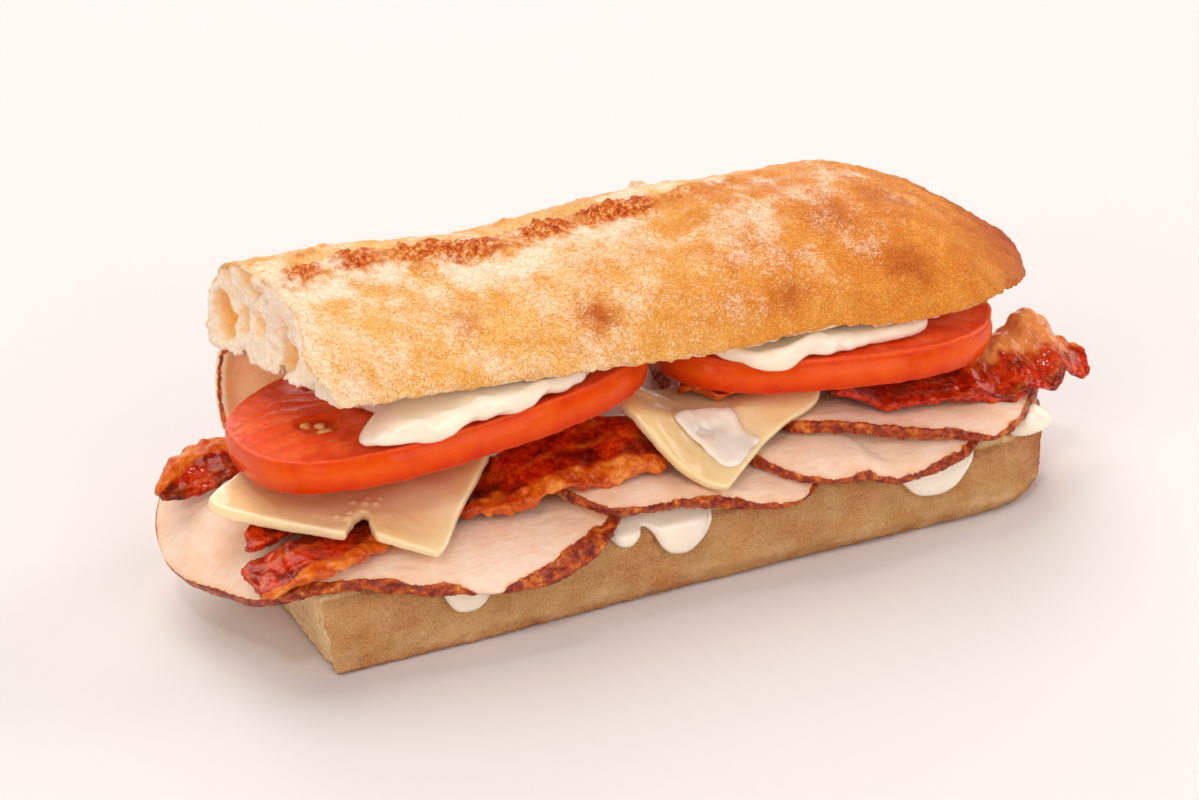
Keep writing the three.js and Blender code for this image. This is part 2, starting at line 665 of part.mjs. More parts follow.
function addUpperMayo() {
  addSpread("mayo_upper_left", {
    outline: [
      [-60, -17], [-64, -22], [-69.5, -26.4], [-67.5, -28.8], [-60, -31], [-50, -31.2], [-41, -30.2],
      [-33, -28.4], [-25, -25.2],
      [-19, -12], [-23, 4], [-38, 14], [-54, 14], [-62, 4], [-62, -8],
    ],
    middle: [-42, -9],
    floor: tomatoTop(TOMATO_LEFT),
    ceiling: lidUnderside,
    full: (x, y) => (1.6 + 5 * ramp(-y, -6, 22)) * mix(0.3, 1, ramp(x, -71, -58)),
  });
  addSpread("mayo_upper_right", {
    outline: [
      [1, -20], [4, -24.5], [10, -28.4], [18, -29], [26, -27.6], [36, -28.4], [43, -26], [46, -16],
      [45, -2], [36, 12], [20, 14], [6, 6], [1, -8],
    ],
    middle: [22, -8],
    floor: tomatoTop(TOMATO_RIGHT),
    ceiling: lidUnderside,
    full: (x, y) => 1.6 + 4.6 * ramp(-y, -6, 22) * mix(1, 0.45, ramp(x, 16, 32)),
  });
}

addHeel();
addLid();
addBaseMayo();
addTurkeySlices();
addTurkeyFold();
addBaconRashers();
addCheese();
addTomato("tomato_left", TOMATO_LEFT);
addTomato("tomato_right", TOMATO_RIGHT);
addUpperMayo();

// The origin is the middle of the bottom of the whole sandwich.
const bounds = new THREE.Box3().setFromObject(sandwich);
const centre = bounds.getCenter(new THREE.Vector3());
sandwich.position.set(-centre.x, -centre.y, -bounds.min.z);

export default sandwich;
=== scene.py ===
"""A club sandwich: bread, turkey, bacon, cheese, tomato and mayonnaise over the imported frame."""

import math

import bmesh
import bpy
import numpy as np
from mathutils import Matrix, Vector, noise
from mathutils.bvhtree import BVHTree


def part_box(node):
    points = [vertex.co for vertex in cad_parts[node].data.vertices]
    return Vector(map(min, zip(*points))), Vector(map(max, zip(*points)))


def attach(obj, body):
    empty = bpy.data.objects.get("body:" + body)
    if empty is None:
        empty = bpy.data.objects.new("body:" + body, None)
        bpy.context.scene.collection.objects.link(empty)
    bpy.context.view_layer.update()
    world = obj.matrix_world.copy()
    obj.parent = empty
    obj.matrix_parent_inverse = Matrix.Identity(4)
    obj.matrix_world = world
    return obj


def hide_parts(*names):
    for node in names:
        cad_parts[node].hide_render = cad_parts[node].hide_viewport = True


bl_info = {
    "name": "Club Sandwich",
    "version": (1, 0, 0),
    "blender": (4, 5, 0),
    "location": "View3D > Sidebar > Sandwich",
    "description": "Builds a baguette club sandwich around its frame",
    "category": "Object",
}

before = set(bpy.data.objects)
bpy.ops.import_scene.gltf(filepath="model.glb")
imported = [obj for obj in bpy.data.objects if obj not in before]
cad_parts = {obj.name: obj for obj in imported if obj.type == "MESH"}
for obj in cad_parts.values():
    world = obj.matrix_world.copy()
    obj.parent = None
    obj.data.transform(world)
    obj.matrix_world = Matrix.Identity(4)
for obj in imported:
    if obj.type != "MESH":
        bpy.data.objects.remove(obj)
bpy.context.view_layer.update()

MM = 0.001
SEAM = 0.002  # how far apart the two sides of a seam may be, mm


def frame_box(node):
    """The lowest and highest corner of a frame node, in millimetres."""
    low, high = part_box(node)
    return np.array(low) / MM, np.array(high) / MM


LID_LOW, LID_HIGH = frame_box("bread_top")
HEEL_LOW, HEEL_HIGH = frame_box("bread_bottom")
CUT_X = HEEL_LOW[0]
MIDDLE_Y = (HEEL_LOW[1] + HEEL_HIGH[1]) / 2


def linear(hex_colour):
    """A linear colour with alpha from an sRGB hex value."""
    parts = [int(hex_colour[i : i + 2], 16) / 255 for i in (0, 2, 4)]
    return [p / 12.92 if p <= 0.04045 else ((p + 0.055) / 1.055) ** 2.4 for p in parts] + [1.0]


def per_mm(size):
    """The texture scale whose pattern is about size millimetres across."""
    return 1 / (size * MM)


# Mesh tools. Points are arrays of millimetres in the row frame.


def smoothstep(low, high, value):
    """0 below low, 1 above high, smooth in between."""
    share = np.clip((value - low) / (high - low), 0, 1)
    return share * share * (3 - 2 * share)


def hump(value, middle, spread):
    """A smooth bump of height 1 at middle."""
    return np.exp(-(((value - middle) / spread) ** 2))


def lumps(points, size, seed=0, octaves=1):
    """Smooth noise from about -1 to 1 at each point, with lumps size millimetres across."""
    shift = Vector((17.3 * seed, 5.1 * seed, 9.7 * seed))
    scaled = (Vector(point) / size + shift for point in points.tolist())
    if octaves == 1:
        return np.array([noise.noise(place) for place in scaled])
    return np.array([noise.fractal(place, 1.0, 2.0, octaves) for place in scaled])


def pores(points, size, seed=0):
    """Distance to the middle of the nearest pore, in pore sizes, for pores size mm apart."""
    shift = Vector((3.1 * seed, 7.7 * seed, 1.3 * seed))
    return np.array([noise.voronoi(Vector(p) / size + shift)[0][0] for p in points.tolist()])


def closed_copy(node):
    """A frame node's surface with its seams closed."""
    shape = bmesh.new()
    shape.from_mesh(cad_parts[node].data)
    bmesh.ops.remove_doubles(shape, verts=shape.verts, dist=SEAM * MM)
    shape.faces.ensure_lookup_table()
    shape.normal_update()
    return shape


def face_regions(shape, bend):
    """Lists of faces that meet at less than bend degrees, the largest area first."""
    limit = math.radians(bend)
    free = [True] * len(shape.faces)
    found = []
    for start in shape.faces:
        if not free[start.index]:
            continue
        free[start.index] = False
        group, open_faces = [start], [start]
        while open_faces:
            for edge in open_faces.pop().edges:
                if edge.calc_face_angle(0) > limit:
                    continue
                for face in edge.link_faces:
                    if free[face.index]:
                        free[face.index] = False
                        group.append(face)
                        open_faces.append(face)
        found.append(group)
    return sorted(found, key=lambda faces: -sum(face.calc_area() for face in faces))


def search_tree(faces):
    """A search tree over faces, in millimetres."""
    corners, polygons = [], []
    for face in faces:
        start = len(corners)
        corners.extend(vert.co / MM for vert in face.verts)
        polygons.append(range(start, start + len(face.verts)))
    return BVHTree.FromPolygons(corners, polygons)


def distances(points, faces):
    """The distance from each point to the nearest of some faces."""
    tree = search_tree(faces)
    return np.array([tree.find_nearest(point)[3] for point in points.tolist()])


def new_piece(name, mesh):
    """An object in the scene for a mesh."""
    piece = bpy.data.objects.new(name, mesh)
    bpy.context.collection.objects.link(piece)
    return piece


def fine_piece(name, shape, voxel, crease=0.6, bend=50, levels=2, relax=3):
    """An object whose mesh is shape, rounded off and divided evenly. Edges past bend keep crease."""
    layer = shape.edges.layers.float.new("crease_edge")
    for edge in shape.edges:
        if edge.calc_face_angle(0) > math.radians(bend):
            edge[layer] = crease
    mesh = bpy.data.meshes.new(name)
    shape.to_mesh(mesh)
    piece = new_piece(name, mesh)
    rounded = piece.modifiers.new("Rounded", "SUBSURF")
    rounded.levels = rounded.render_levels = levels
    if voxel:
        even = piece.modifiers.new("Even", "REMESH")
        even.mode = "VOXEL"
        even.voxel_size = voxel * MM
        relaxed = piece.modifiers.new("Relaxed", "SMOOTH")
        relaxed.factor, relaxed.iterations = 0.5, relax
    graph = bpy.context.evaluated_depsgraph_get()
    fine = bpy.data.meshes.new_from_object(piece.evaluated_get(graph))
    piece.modifiers.clear()
    piece.data = fine
    fine.shade_smooth()
    bpy.data.meshes.remove(mesh)
    return piece


def points_of(piece):
    """The piece's points."""
    flat = np.empty(3 * len(piece.data.vertices))
    piece.data.vertices.foreach_get("co", flat)
    return flat.reshape(-1, 3) / MM


def normals_of(piece):
    """The outward direction at each of the piece's points."""
    flat = np.empty(3 * len(piece.data.vertices))
    piece.data.vertices.foreach_get("normal", flat)
    return flat.reshape(-1, 3)


def move_points(piece, points):
    """Gives the piece new points."""
    piece.data.vertices.foreach_set("co", (points * MM).ravel())
    piece.data.update()


def swell(piece, height):
    """Moves each point outward by its height in millimetres."""
    move_points(piece, points_of(piece) + normals_of(piece) * height[:, None])


def paint(piece, name, values):
    """Keeps a number at each point for the materials to read."""
    layer = piece.data.attributes.new(name, "FLOAT", "POINT")
    layer.data.foreach_set("value", values.astype(np.float32))


def finish_piece(piece, material, slot, *nodes):
    """Gives a piece its material and its place in the frame; slot is not used."""
    piece.data.materials.clear()
    piece.data.materials.append(material)
    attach(piece, "root")
    if nodes:
        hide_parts(*nodes)


# Material tools


def new_material(name):
    """A material's tree and its shader node."""
    material = bpy.data.materials.new(name)
    material.use_nodes = True
    return material, material.node_tree, material.node_tree.nodes["Principled BSDF"]


def add(tree, kind, inputs=None, out=0, stops=None, **settings):
    """Adds a node with its settings, values, links and ramp stops, and gives back one output."""
    made = tree.nodes.new(kind)
    for key, value in settings.items():
        setattr(made, key, value)
    for key, value in (inputs or {}).items():
        if isinstance(value, bpy.types.NodeSocket):
            tree.links.new(value, made.inputs[key])
        else:
            made.inputs[key].default_value = value
    if stops:
        ramp = made.color_ramp
        while len(ramp.elements) < len(stops):
            ramp.elements.new(0.5)
        for element, (place, colour) in zip(ramp.elements, stops):
            element.position, element.color = place, linear(colour)
    return made.outputs[out]


def set_shader(tree, shader, inputs):
    """Sets or links a shader's own sockets."""
    for key, value in inputs.items():
        if isinstance(value, bpy.types.NodeSocket):
            tree.links.new(value, shader.inputs[key])
        else:
            shader.inputs[key].default_value = value


# Bread

CRUST_BLISTERS = (  # mm from the cut end, and how far the lip is blistered there
    (0, 5, 8, 11, 14, 17, 20, 23, 25, 28, 37, 43, 47, 49, 51.5, 55, 59, 62, 65, 70, 75, 79, 84, 94, 108),
    (0, 0.3, 0.9, 0.6, 0.2, 0.85, 1, 0.5, 0.3, 0.8, 0.9, 0.8, 0.35, 0.3, 0.95, 1.2, 0.9, 0.3, 1.1, 1.3,
     0.9, 0.3, 0.45, 0.2, 0),
)
SCORE_LINE = (  # mm from the cut end, and the lip's place across
    (0, 8.5, 19.5, 30, 40, 54.5, 69.5, 82, 98, 112),
    (1.6, 2.2, 2.8, 2.6, 0.4, 4.4, 4.6, 5.4, 10.5, 14),
)
TOAST_SPOTS = [  # mm from the cut end, from the middle line, above the lid's edge, radius, depth
    (31, -18.9, 17.4, 3.4, 0.6), (53.5, -22.7, 15.9, 3.8, 1.0), (90, -25.7, 14.2, 3.4, 0.75),
    (114.7, -24.1, 15, 4.2, 0.9), (105.7, -12.3, 21.5, 5.5, 0.6), (119.8, -8.4, 20.6, 5.5, 0.6),
    (60, 26, 10, 5, 0.7), (95, 22, 14, 6, 0.7), (24, 27, 9, 4.5, 0.6), (128, 12, 14, 5, 0.6),
]
CRUMB_HOLES = [  # across from the middle line, above the lid's edge, half width, half height, depth
    (23.2, 8.2, 3.2, 5.2, 4.4), (11.4, 18.9, 3.8, 3.6, 3.2), (19.4, 18.0, 1.6, 2.4, 2.2),
    (4.4, 18.6, 2.2, 1.9, 2.4), (16.5, 9.5, 2.4, 3.2, 1.8), (8.5, 11.5, 3.4, 2.6, 1.6),
    (-2.5, 10.5, 2.4, 6.2, 2.6), (26.5, 15.5, 1.5, 2.2, 1.8), (12.5, 3.6, 2.6, 1.6, 1.5),
    (-9, 12, 2.6, 1.8, 1.6), (-16.5, 8.6, 2.2, 1.4, 1.1), (-20.5, 4.4, 1.6, 1.1, 0.9),
]
CRUMB_PORES = [  # distance between them in mm, seed, where their walls start and end, depth in mm
    (1.5, 3, 0.5, 0.2, 0.32), (3.2, 8, 0.5, 0.15, 0.7), (6.5, 14, 0.42, 0.1, 1.1),
]
SCORE_FADE = (116, 92)  # the score fades out between these, mm from the cut end
FAR_LIP = 10.5  # how far the low lip across the torn valley is from the crest, mm
CUT_DEPTH = 14  # how far the cut faces reach along the loaf, mm
CUT_FACING = 0.4  # a face turned to the cut end by more than this is a cut face
CRUMB_FACING = 0.62  # a face turned up or down by more than this is crumb
PIT_FULL_SHADE = 3.2  # depth of a hole that has the full painted shade of a hole, mm
HEEL_ROLL = 1.8  # how far the heel's lower edge is rolled under, mm


def crust_and_cut(shape, cut_x, crumb_up):
    """The crust faces and the cut faces of a bread half whose crumb faces up (1) or down (-1)."""
    crust, cut = [], []
    for face in shape.faces:
        if face.calc_center_median().x / MM < cut_x + CUT_DEPTH and face.normal.x < -CUT_FACING:
            cut.append(face)
        elif face.normal.z * crumb_up <= CRUMB_FACING:
            crust.append(face)
    return crust, cut


def loaf_place(points):
    """Distances in mm along the loaf from its cut end and across it from its middle line."""
    return points[:, 0] - CUT_X, points[:, 1] - MIDDLE_Y


def crumb_relief(points, crumb):
    """Depth of the small pores of the crumb, 0 on the crust."""
    depth = -0.22 * lumps(points, 0.9, 5, 2) - 0.35
    for size, seed, wall, floor, deep in CRUMB_PORES:
        depth += deep * smoothstep(wall, floor, pores(points, size, seed))
    return crumb * depth


def crumb_pits(points, along, across, above):
    """Depth of the large holes in the lid's cut end."""
    pit = np.zeros(len(points))
    rough = 0.12 * lumps(points, 2.2, 7)
    for hole_y, hole_z, wide, high, deep in CRUMB_HOLES:
        reach = np.hypot((across - hole_y) / wide, (above - hole_z) / high)
        pit = np.maximum(pit, smoothstep(1.1, 0.6, reach + rough) * deep)
    return pit * smoothstep(13, 6, along)


def lid_toast(along, across, above, coarse, fine):
    """How far the lid is toasted, from 0 to 1: in round spots, at its end and along its lower edge."""
    toast = np.zeros(len(along))
    for spot_x, spot_y, spot_z, radius, deep in TOAST_SPOTS:
        away = np.sqrt((along - spot_x) ** 2 + (across - spot_y) ** 2 + (above - spot_z) ** 2)
        toast = np.maximum(toast, deep * hump(away + 1.8 * coarse + 0.8 * fine, 0, radius))
    end = LID_HIGH[0] - LID_LOW[0]
    toast = np.maximum(toast, smoothstep(end - 32, end - 6, along + 6 * coarse - 0.3 * above))
    return np.maximum(toast, 0.3 * smoothstep(3, 0.4, above + coarse) * smoothstep(50, 80, along))


def build_lid(settings, material):
    """The upper half of the bread: a domed crust with a torn score, and a crumb full of holes."""
    shape = closed_copy("bread_top")
    crust_faces, cut_faces = crust_and_cut(shape, LID_LOW[0], -1)
    piece = fine_piece("baguette_lid", shape, settings.grain / MM, crease=0.85, bend=42)
    points = points_of(piece)
    depth_in = distances(points, crust_faces)
    from_cut = distances(points, cut_faces)
    shape.free()
    along = points[:, 0] - LID_LOW[0]
    across = points[:, 1] - MIDDLE_Y
    above = points[:, 2] - LID_LOW[2]
    coarse = lumps(points, 9, 1, 3)
    fine = lumps(points, 1.4, 4, 2)

    # Near the cut end the front of the crust is torn away, down to the crumb
    flap = smoothstep(3.6, 2.8, from_cut + 0.7 * fine)
    flap *= smoothstep(14, 9, above) * smoothstep(-13, -19, across)
    crumb = np.maximum(smoothstep(0.35, 1.1, depth_in), flap)

    # The score: a blistered lip along the crown and the pale torn valley behind it
    crest = np.interp(along, *SCORE_LINE) + 1.1 * coarse
    behind = across - crest
    scored = smoothstep(-1, 5, along) * smoothstep(*SCORE_FADE, along) * (1 - crumb) * (above > 12)
    blister = np.interp(along + 1.6 * fine, *CRUST_BLISTERS)
    front = smoothstep(-5.5, -0.8, behind) * (behind <= 0)
    back = smoothstep(1.6, 0.3, behind) * (behind > 0)
    ridge = scored * (front + back) * (0.25 + blister * (0.8 + 0.4 * fine))
    ragged = behind + 0.9 * fine + 0.6 * lumps(points, 3, 16)
    blistered = scored * blister * smoothstep(-5.4, -3, ragged) * smoothstep(2, 1, behind)
    bubbles = lumps(points, 1.6, 17, 2) - smoothstep(0.5, 0.2, pores(points, 2.0, 19))
    ridge += 0.18 * blistered * bubbles
    far_bits = smoothstep(0.15, 0.55, lumps(points, 7, 9, 2))
    far_lip = scored * hump(behind, FAR_LIP, 1.5) * far_bits * (0.4 + 0.8 * smoothstep(35, 60, along))
    valley = scored * smoothstep(0.6, 2.4, behind) * smoothstep(9.6, 5.2, behind)
    relief = settings.ridge / MM * ridge + far_lip - settings.score / MM * valley
    creases = lumps(points * [1, 0.5, 0.5], 2.2, 2, 2)
    relief += (1 - crumb) * (0.3 * coarse + 0.08 * creases + 0.05 * lumps(points, 0.9, 6))

    # The cut end: large holes, torn edges
    pit = crumb * crumb_pits(points, along, across, above)
    relief -= pit + crumb_relief(points, crumb) * (1 - 0.6 * smoothstep(0.4, 2, pit)) * (1 - 0.6 * flap)
    relief += hump(depth_in, 0.7, 1.0) * 0.5 * lumps(points, 1.5, 12, 2)
    swell(piece, relief)

    toast = lid_toast(along, across, above, coarse, fine)
    halo = scored * np.sqrt(blister) * hump(behind, -3.2, 3.4) * (0.75 + 0.5 * fine)
    paint(piece, "toast", np.maximum(toast, 0.2 * halo) * (1 - crumb))
    bake = smoothstep(35, 112, along + 10 * coarse) + 0.25 * lumps(points, 16, 15, 2)
    paint(piece, "bake", np.clip(np.maximum(bake, 1.1 * halo), 0, 1))
    far_burnt = scored * hump(behind, FAR_LIP, 2) * far_bits * 0.3
    paint(piece, "blister", np.maximum(smoothstep(0.1, 0.85, blistered + 0.15 * fine), far_burnt))
    paint(piece, "torn", scored * smoothstep(0.6, 2.0, behind) * smoothstep(10.2, 8.2, behind))
    paint(piece, "crumb", crumb)
    # Painted shade in the crumb's holes: the deeper a hole, the more warm amber it gets
    paint(piece, "pit", np.clip(pit / PIT_FULL_SHADE, 0, 1))
    clouds = lumps(points, 7, 11, 3)
    near_lip = scored * smoothstep(-19, -4, behind) * smoothstep(110, 85, along)
    flour = 0.3 + 0.35 * clouds + 0.2 * creases + near_lip * (0.42 + 0.7 * clouds)
    flour += (0.3 * smoothstep(14, 21, above) * (0.6 + clouds) - 0.3) * smoothstep(60, 95, along)
    flour += 0.25 * smoothstep(12, 3, along) - 0.25 * smoothstep(112, 130, along)
    flour -= 0.3 * smoothstep(50, 95, along) * smoothstep(15, 8, above)
    flour -= 0.5 * toast + 0.9 * halo + 0.6 * scored * smoothstep(0.3, 1.5, behind)
    paint(piece, "flour", flour * (1 - crumb))
    finish_piece(piece, material, "bread", "bread_top")


def build_heel(settings, material):
    """The lower half of the bread: a pale floured crust below and at the sides, crumb on top."""
    shape = closed_copy("bread_bottom")
    crust_faces, _ = crust_and_cut(shape, HEEL_LOW[0], 1)
    piece = fine_piece("baguette_heel", shape, settings.grain / MM, crease=0.6, bend=42)
    points = points_of(piece)
    normals = normals_of(piece)
    depth_in = distances(points, crust_faces)
    crumb = smoothstep(0.3, 1.0, depth_in)
    shape.free()
    along, _ = loaf_place(points)
    above = points[:, 2] - HEEL_LOW[2]
    side = 1 - np.abs(normals[:, 2])
    creases = lumps(points * [0.35, 1, 1.6], 3.2, 26, 2)
    relief = (1 - crumb) * side * (0.4 * lumps(points, 9, 21, 3) + 0.07 * lumps(points, 1.2, 22, 2))
    relief += (1 - crumb) * side * 0.3 * creases * smoothstep(10, 3, above)
    relief -= crumb_relief(points, crumb) * 0.7
    relief += hump(depth_in, 0.6, 0.9) * 0.35 * lumps(points, 1.4, 25, 2)
    swell(piece, relief)

    # Towards its end the lower edge is rolled under
    moved = points_of(piece)
    rolled = HEEL_ROLL * smoothstep(4.5, 0, above) * smoothstep(20, 90, along)
    moved[:, 1] -= rolled * np.clip(moved[:, 1] / 20, -1, 1)
    moved[:, 2] = np.maximum(moved[:, 2], HEEL_LOW[2])
    move_points(piece, moved)

    end = HEEL_HIGH[0] - HEEL_LOW[0]
    ending = np.maximum(smoothstep(end - 24, end - 5, along), smoothstep(0.2, 0.8, normals[:, 0]))
    toast = ending * (0.6 + 0.4 * smoothstep(3, 12, above)) + 0.35 * lumps(points, 13, 23, 2)
    # Darker brown towards the bottom, and a thin painted shadow line along the very base
    toast += 0.4 * smoothstep(5, 0, above) + 0.7 * smoothstep(1.4, 0, above)
    toast += 0.25 * smoothstep(0.1, -0.6, creases) + 0.25 * hump(above, 15, 2)
    clouds = lumps(points, 6, 24, 3)
    flour = 0.3 + 0.5 * clouds + 0.5 * hump(above, 3.2, 2) * (0.5 + clouds) - 0.5 * ending
    paint(piece, "toast", np.clip(toast, 0, 1) * (1 - crumb))
    paint(piece, "flour", flour * (1 - crumb))
    paint(piece, "crumb", crumb)
    finish_piece(piece, material, "bread", "bread_bottom")


def crust_pattern(tree, place):
    """The bread's grain, its freckles, and a tone of the grain and of soft clouds."""
    # Flour is finer than 0.1 mm, and is drawn at 0.34 mm, as coarse as it needs to be to show
    grain = add(
        tree, "ShaderNodeTexNoise",
        {"Vector": place, "Scale": per_mm(0.34), "Detail": 2, "Roughness": 0.6},
    )
    freckle = add(
        tree, "ShaderNodeTexNoise",
        {"Vector": place, "Scale": per_mm(1.1), "Detail": 4, "Roughness": 0.75},
    )
    cloud = add(
        tree, "ShaderNodeTexNoise",
        {"Vector": place, "Scale": per_mm(5), "Detail": 4, "Roughness": 0.6},
    )
    tone = add(tree, "ShaderNodeMath", {0: cloud, 1: 0.7, 2: grain}, operation="MULTIPLY_ADD")
    return grain, freckle, tone


def baked_crust(settings):
    """Baguette crust baked in flour: golden with a fine pale grain, dark red-brown at its blisters."""
    material, tree, shader = new_material("baked_baguette_crust")
    place = add(tree, "ShaderNodeTexCoord", out="Object")
    read = {
        name: add(tree, "ShaderNodeAttribute", out="Fac", attribute_name=name)
        for name in ("toast", "bake", "blister", "torn", "crumb", "pit", "flour")
    }
    grain, freckle, tone = crust_pattern(tree, place)
    gold = add(
        tree, "ShaderNodeValToRGB", {"Fac": tone},
        stops=[(0.65, "E0983A"), (0.85, "EAA94E"), (1.0, "F0BA6C")],
    )
    deep = add(
        tree, "ShaderNodeValToRGB", {"Fac": tone},
        stops=[(0.65, "CA6C10"), (0.85, "DC8222"), (1.0, "E89C44")],
    )
    toasted = add(
        tree, "ShaderNodeValToRGB", {"Fac": tone},
        stops=[(0.65, "983202"), (0.85, "B44A06"), (1.0, "CA6414")],
    )
    torn = add(tree, "ShaderNodeValToRGB", {"Fac": tone}, stops=[(0.65, "EBA850"), (1.0, "F8D092")])
    patch = add(tree, "ShaderNodeMath", {0: freckle, 1: 1.5, 2: read["flour"]}, operation="MULTIPLY_ADD")
    dust = add(tree, "ShaderNodeMath", {0: grain, 1: 1.5, 2: patch}, operation="MULTIPLY_ADD")
    dusted = add(
        tree, "ShaderNodeMapRange",
        {"Value": dust, "From Min": 1.6, "From Max": 2.45, "To Max": 0.85},
    )

    # Fine cracks in the dry crust, 1.5 mm apart, where it cooled
    swirl = add(tree, "ShaderNodeTexNoise", {"Vector": place, "Scale": per_mm(1.2), "Detail": 2}, 1)
    wander = add(tree, "ShaderNodeVectorMath", {0: swirl, "Scale": 1.2 * MM}, operation="SCALE")
    warped = add(tree, "ShaderNodeVectorMath", {0: place, 1: wander}, operation="ADD")
    cells = add(
        tree, "ShaderNodeTexVoronoi", {"Vector": warped, "Scale": per_mm(1.5)},
        feature="DISTANCE_TO_EDGE",
    )
    crack = add(
        tree, "ShaderNodeMapRange",
        {"Value": cells, "From Min": 0.1, "From Max": 0.02, "To Max": 0.3},
    )

    blistered = add(
        tree, "ShaderNodeValToRGB", {"Fac": freckle},
        stops=[(0.36, "962C02"), (0.45, "BA4A08"), (0.53, "D4701C"), (0.6, "E9A45A"), (0.67, "F9DAB0")],
    )
    crumbly = add(
        tree, "ShaderNodeValToRGB", {"Fac": freckle},
        stops=[(0.35, "FAD6AC"), (0.5, "FFE6CC"), (0.65, "FFF1E2")],
    )
    # Painted shade: the crumb turns warm amber down in its holes
    crumb_with_painted_hole_shade = add(
        tree, "ShaderNodeMix", {0: read["pit"], 6: crumbly, 7: linear("FFC45E")}, 2, data_type="RGBA",
    )
    colour = gold
    for amount, over in (
        (read["bake"], deep), (read["toast"], toasted), (read["torn"], torn),
        (dusted, settings.lid_flour), (crack, linear("B87428")), (read["blister"], blistered),
        (read["crumb"], crumb_with_painted_hole_shade),
    ):
        colour = add(tree, "ShaderNodeMix", {0: amount, 6: colour, 7: over}, 2, data_type="RGBA")
    rough = add(tree, "ShaderNodeMapRange", {"Value": read["crumb"], "To Min": 0.5, "To Max": 0.85})
    soft = add(tree, "ShaderNodeMapRange", {"Value": read["crumb"], "To Min": 0.08, "To Max": 0.4})
    bumps = add(tree, "ShaderNodeMath", {0: grain, 1: freckle}, operation="ADD")
    bump = add(tree, "ShaderNodeBump", {"Height": bumps, "Strength": 0.8, "Distance": 0.25 * MM})
    set_shader(tree, shader, {
        "Base Color": colour, "Roughness": rough, "Normal": bump,
        "Subsurface Weight": soft, "Subsurface Radius": (1.0, 0.8, 0.6), "Subsurface Scale": 3 * MM,
        "Specular IOR Level": 0.18,
    })
    return material


def floured_crust(settings):
    """The soft side crust of the heel: pale tan with flour specks, redder towards its end."""
    material, tree, shader = new_material("floured_baguette_side")
    place = add(tree, "ShaderNodeTexCoord", out="Object")
    read = {
        name: add(tree, "ShaderNodeAttribute", out="Fac", attribute_name=name)
        for name in ("toast", "crumb", "flour")
    }
    grain, freckle, tone = crust_pattern(tree, place)
    tan = add(
        tree, "ShaderNodeValToRGB", {"Fac": tone},
        stops=[(0.65, "B27C44"), (0.85, "BA864C"), (1.0, "C28E58")],
    )
    brown = add(
        tree, "ShaderNodeValToRGB", {"Fac": tone},
        stops=[(0.65, "8A3C10"), (0.85, "A3521A"), (1.0, "B8682A")],
    )
    dust = add(tree, "ShaderNodeMath", {0: grain, 1: 2.2, 2: read["flour"]}, operation="MULTIPLY_ADD")
    dusted = add(
        tree, "ShaderNodeMapRange", {"Value": dust, "From Min": 1.0, "From Max": 2.4, "To Max": 0.5},
    )
    crumbly = add(
        tree, "ShaderNodeValToRGB", {"Fac": freckle},
        stops=[(0.35, "DCA870"), (0.5, "EAC492"), (0.65, "F4D8B0")],
    )
    colour = tan
    for amount, over in (
        # On the heel, toast also holds a thin painted shadow line along the base
        (read["toast"], brown), (dusted, settings.heel_flour), (read["crumb"], crumbly),
    ):
        colour = add(tree, "ShaderNodeMix", {0: amount, 6: colour, 7: over}, 2, data_type="RGBA")
    bumps = add(tree, "ShaderNodeMath", {0: grain, 1: freckle}, operation="ADD")
    bump = add(tree, "ShaderNodeBump", {"Height": bumps, "Strength": 0.7, "Distance": 0.28 * MM})
    set_shader(tree, shader, {
        "Base Color": colour, "Roughness": 0.6, "Normal": bump,
        "Subsurface Weight": 0.1, "Subsurface Radius": (0.9, 0.5, 0.25), "Subsurface Scale": 3 * MM,
        "Specular IOR Level": 0.2,
    })
    return material


# Turkey

TURKEY_SLICES = {  # node: the browned band past the rim, and (along the loaf, spread, more) in mm
    "turkey_left": (1.1, [(45, 10, 3.2), (28.5, 2.4, -4), (16, 8, 0.8)]),
    "turkey_middle": (0.9, [(76, 9, 0.8)]),
    "turkey_right_lower": (0.9, [(124, 9, 1.2), (137, 3, -3)]),
    "turkey_right_upper": (0.9, [(124, 9, 0.5)]),
    "turkey_back_fold": (-0.7, []),
}
TURKEY_SPACING = 0.42  # of the points on a slice, mm
OVERHANG = (-4, -9)  # the left slice hangs past the cut end beyond these places along the loaf, mm
THIN_RIM = 0.35  # width of its rim there, mm
FOLD_BENT = (17, 4)  # the fold bends over between these places along the loaf, mm
FOLD_SHIFT = (0.3, 0, 0)  # in proportion to the bend, mm
FOLD_LEAN = (0, 4.6, 0)  # in proportion to its square, mm


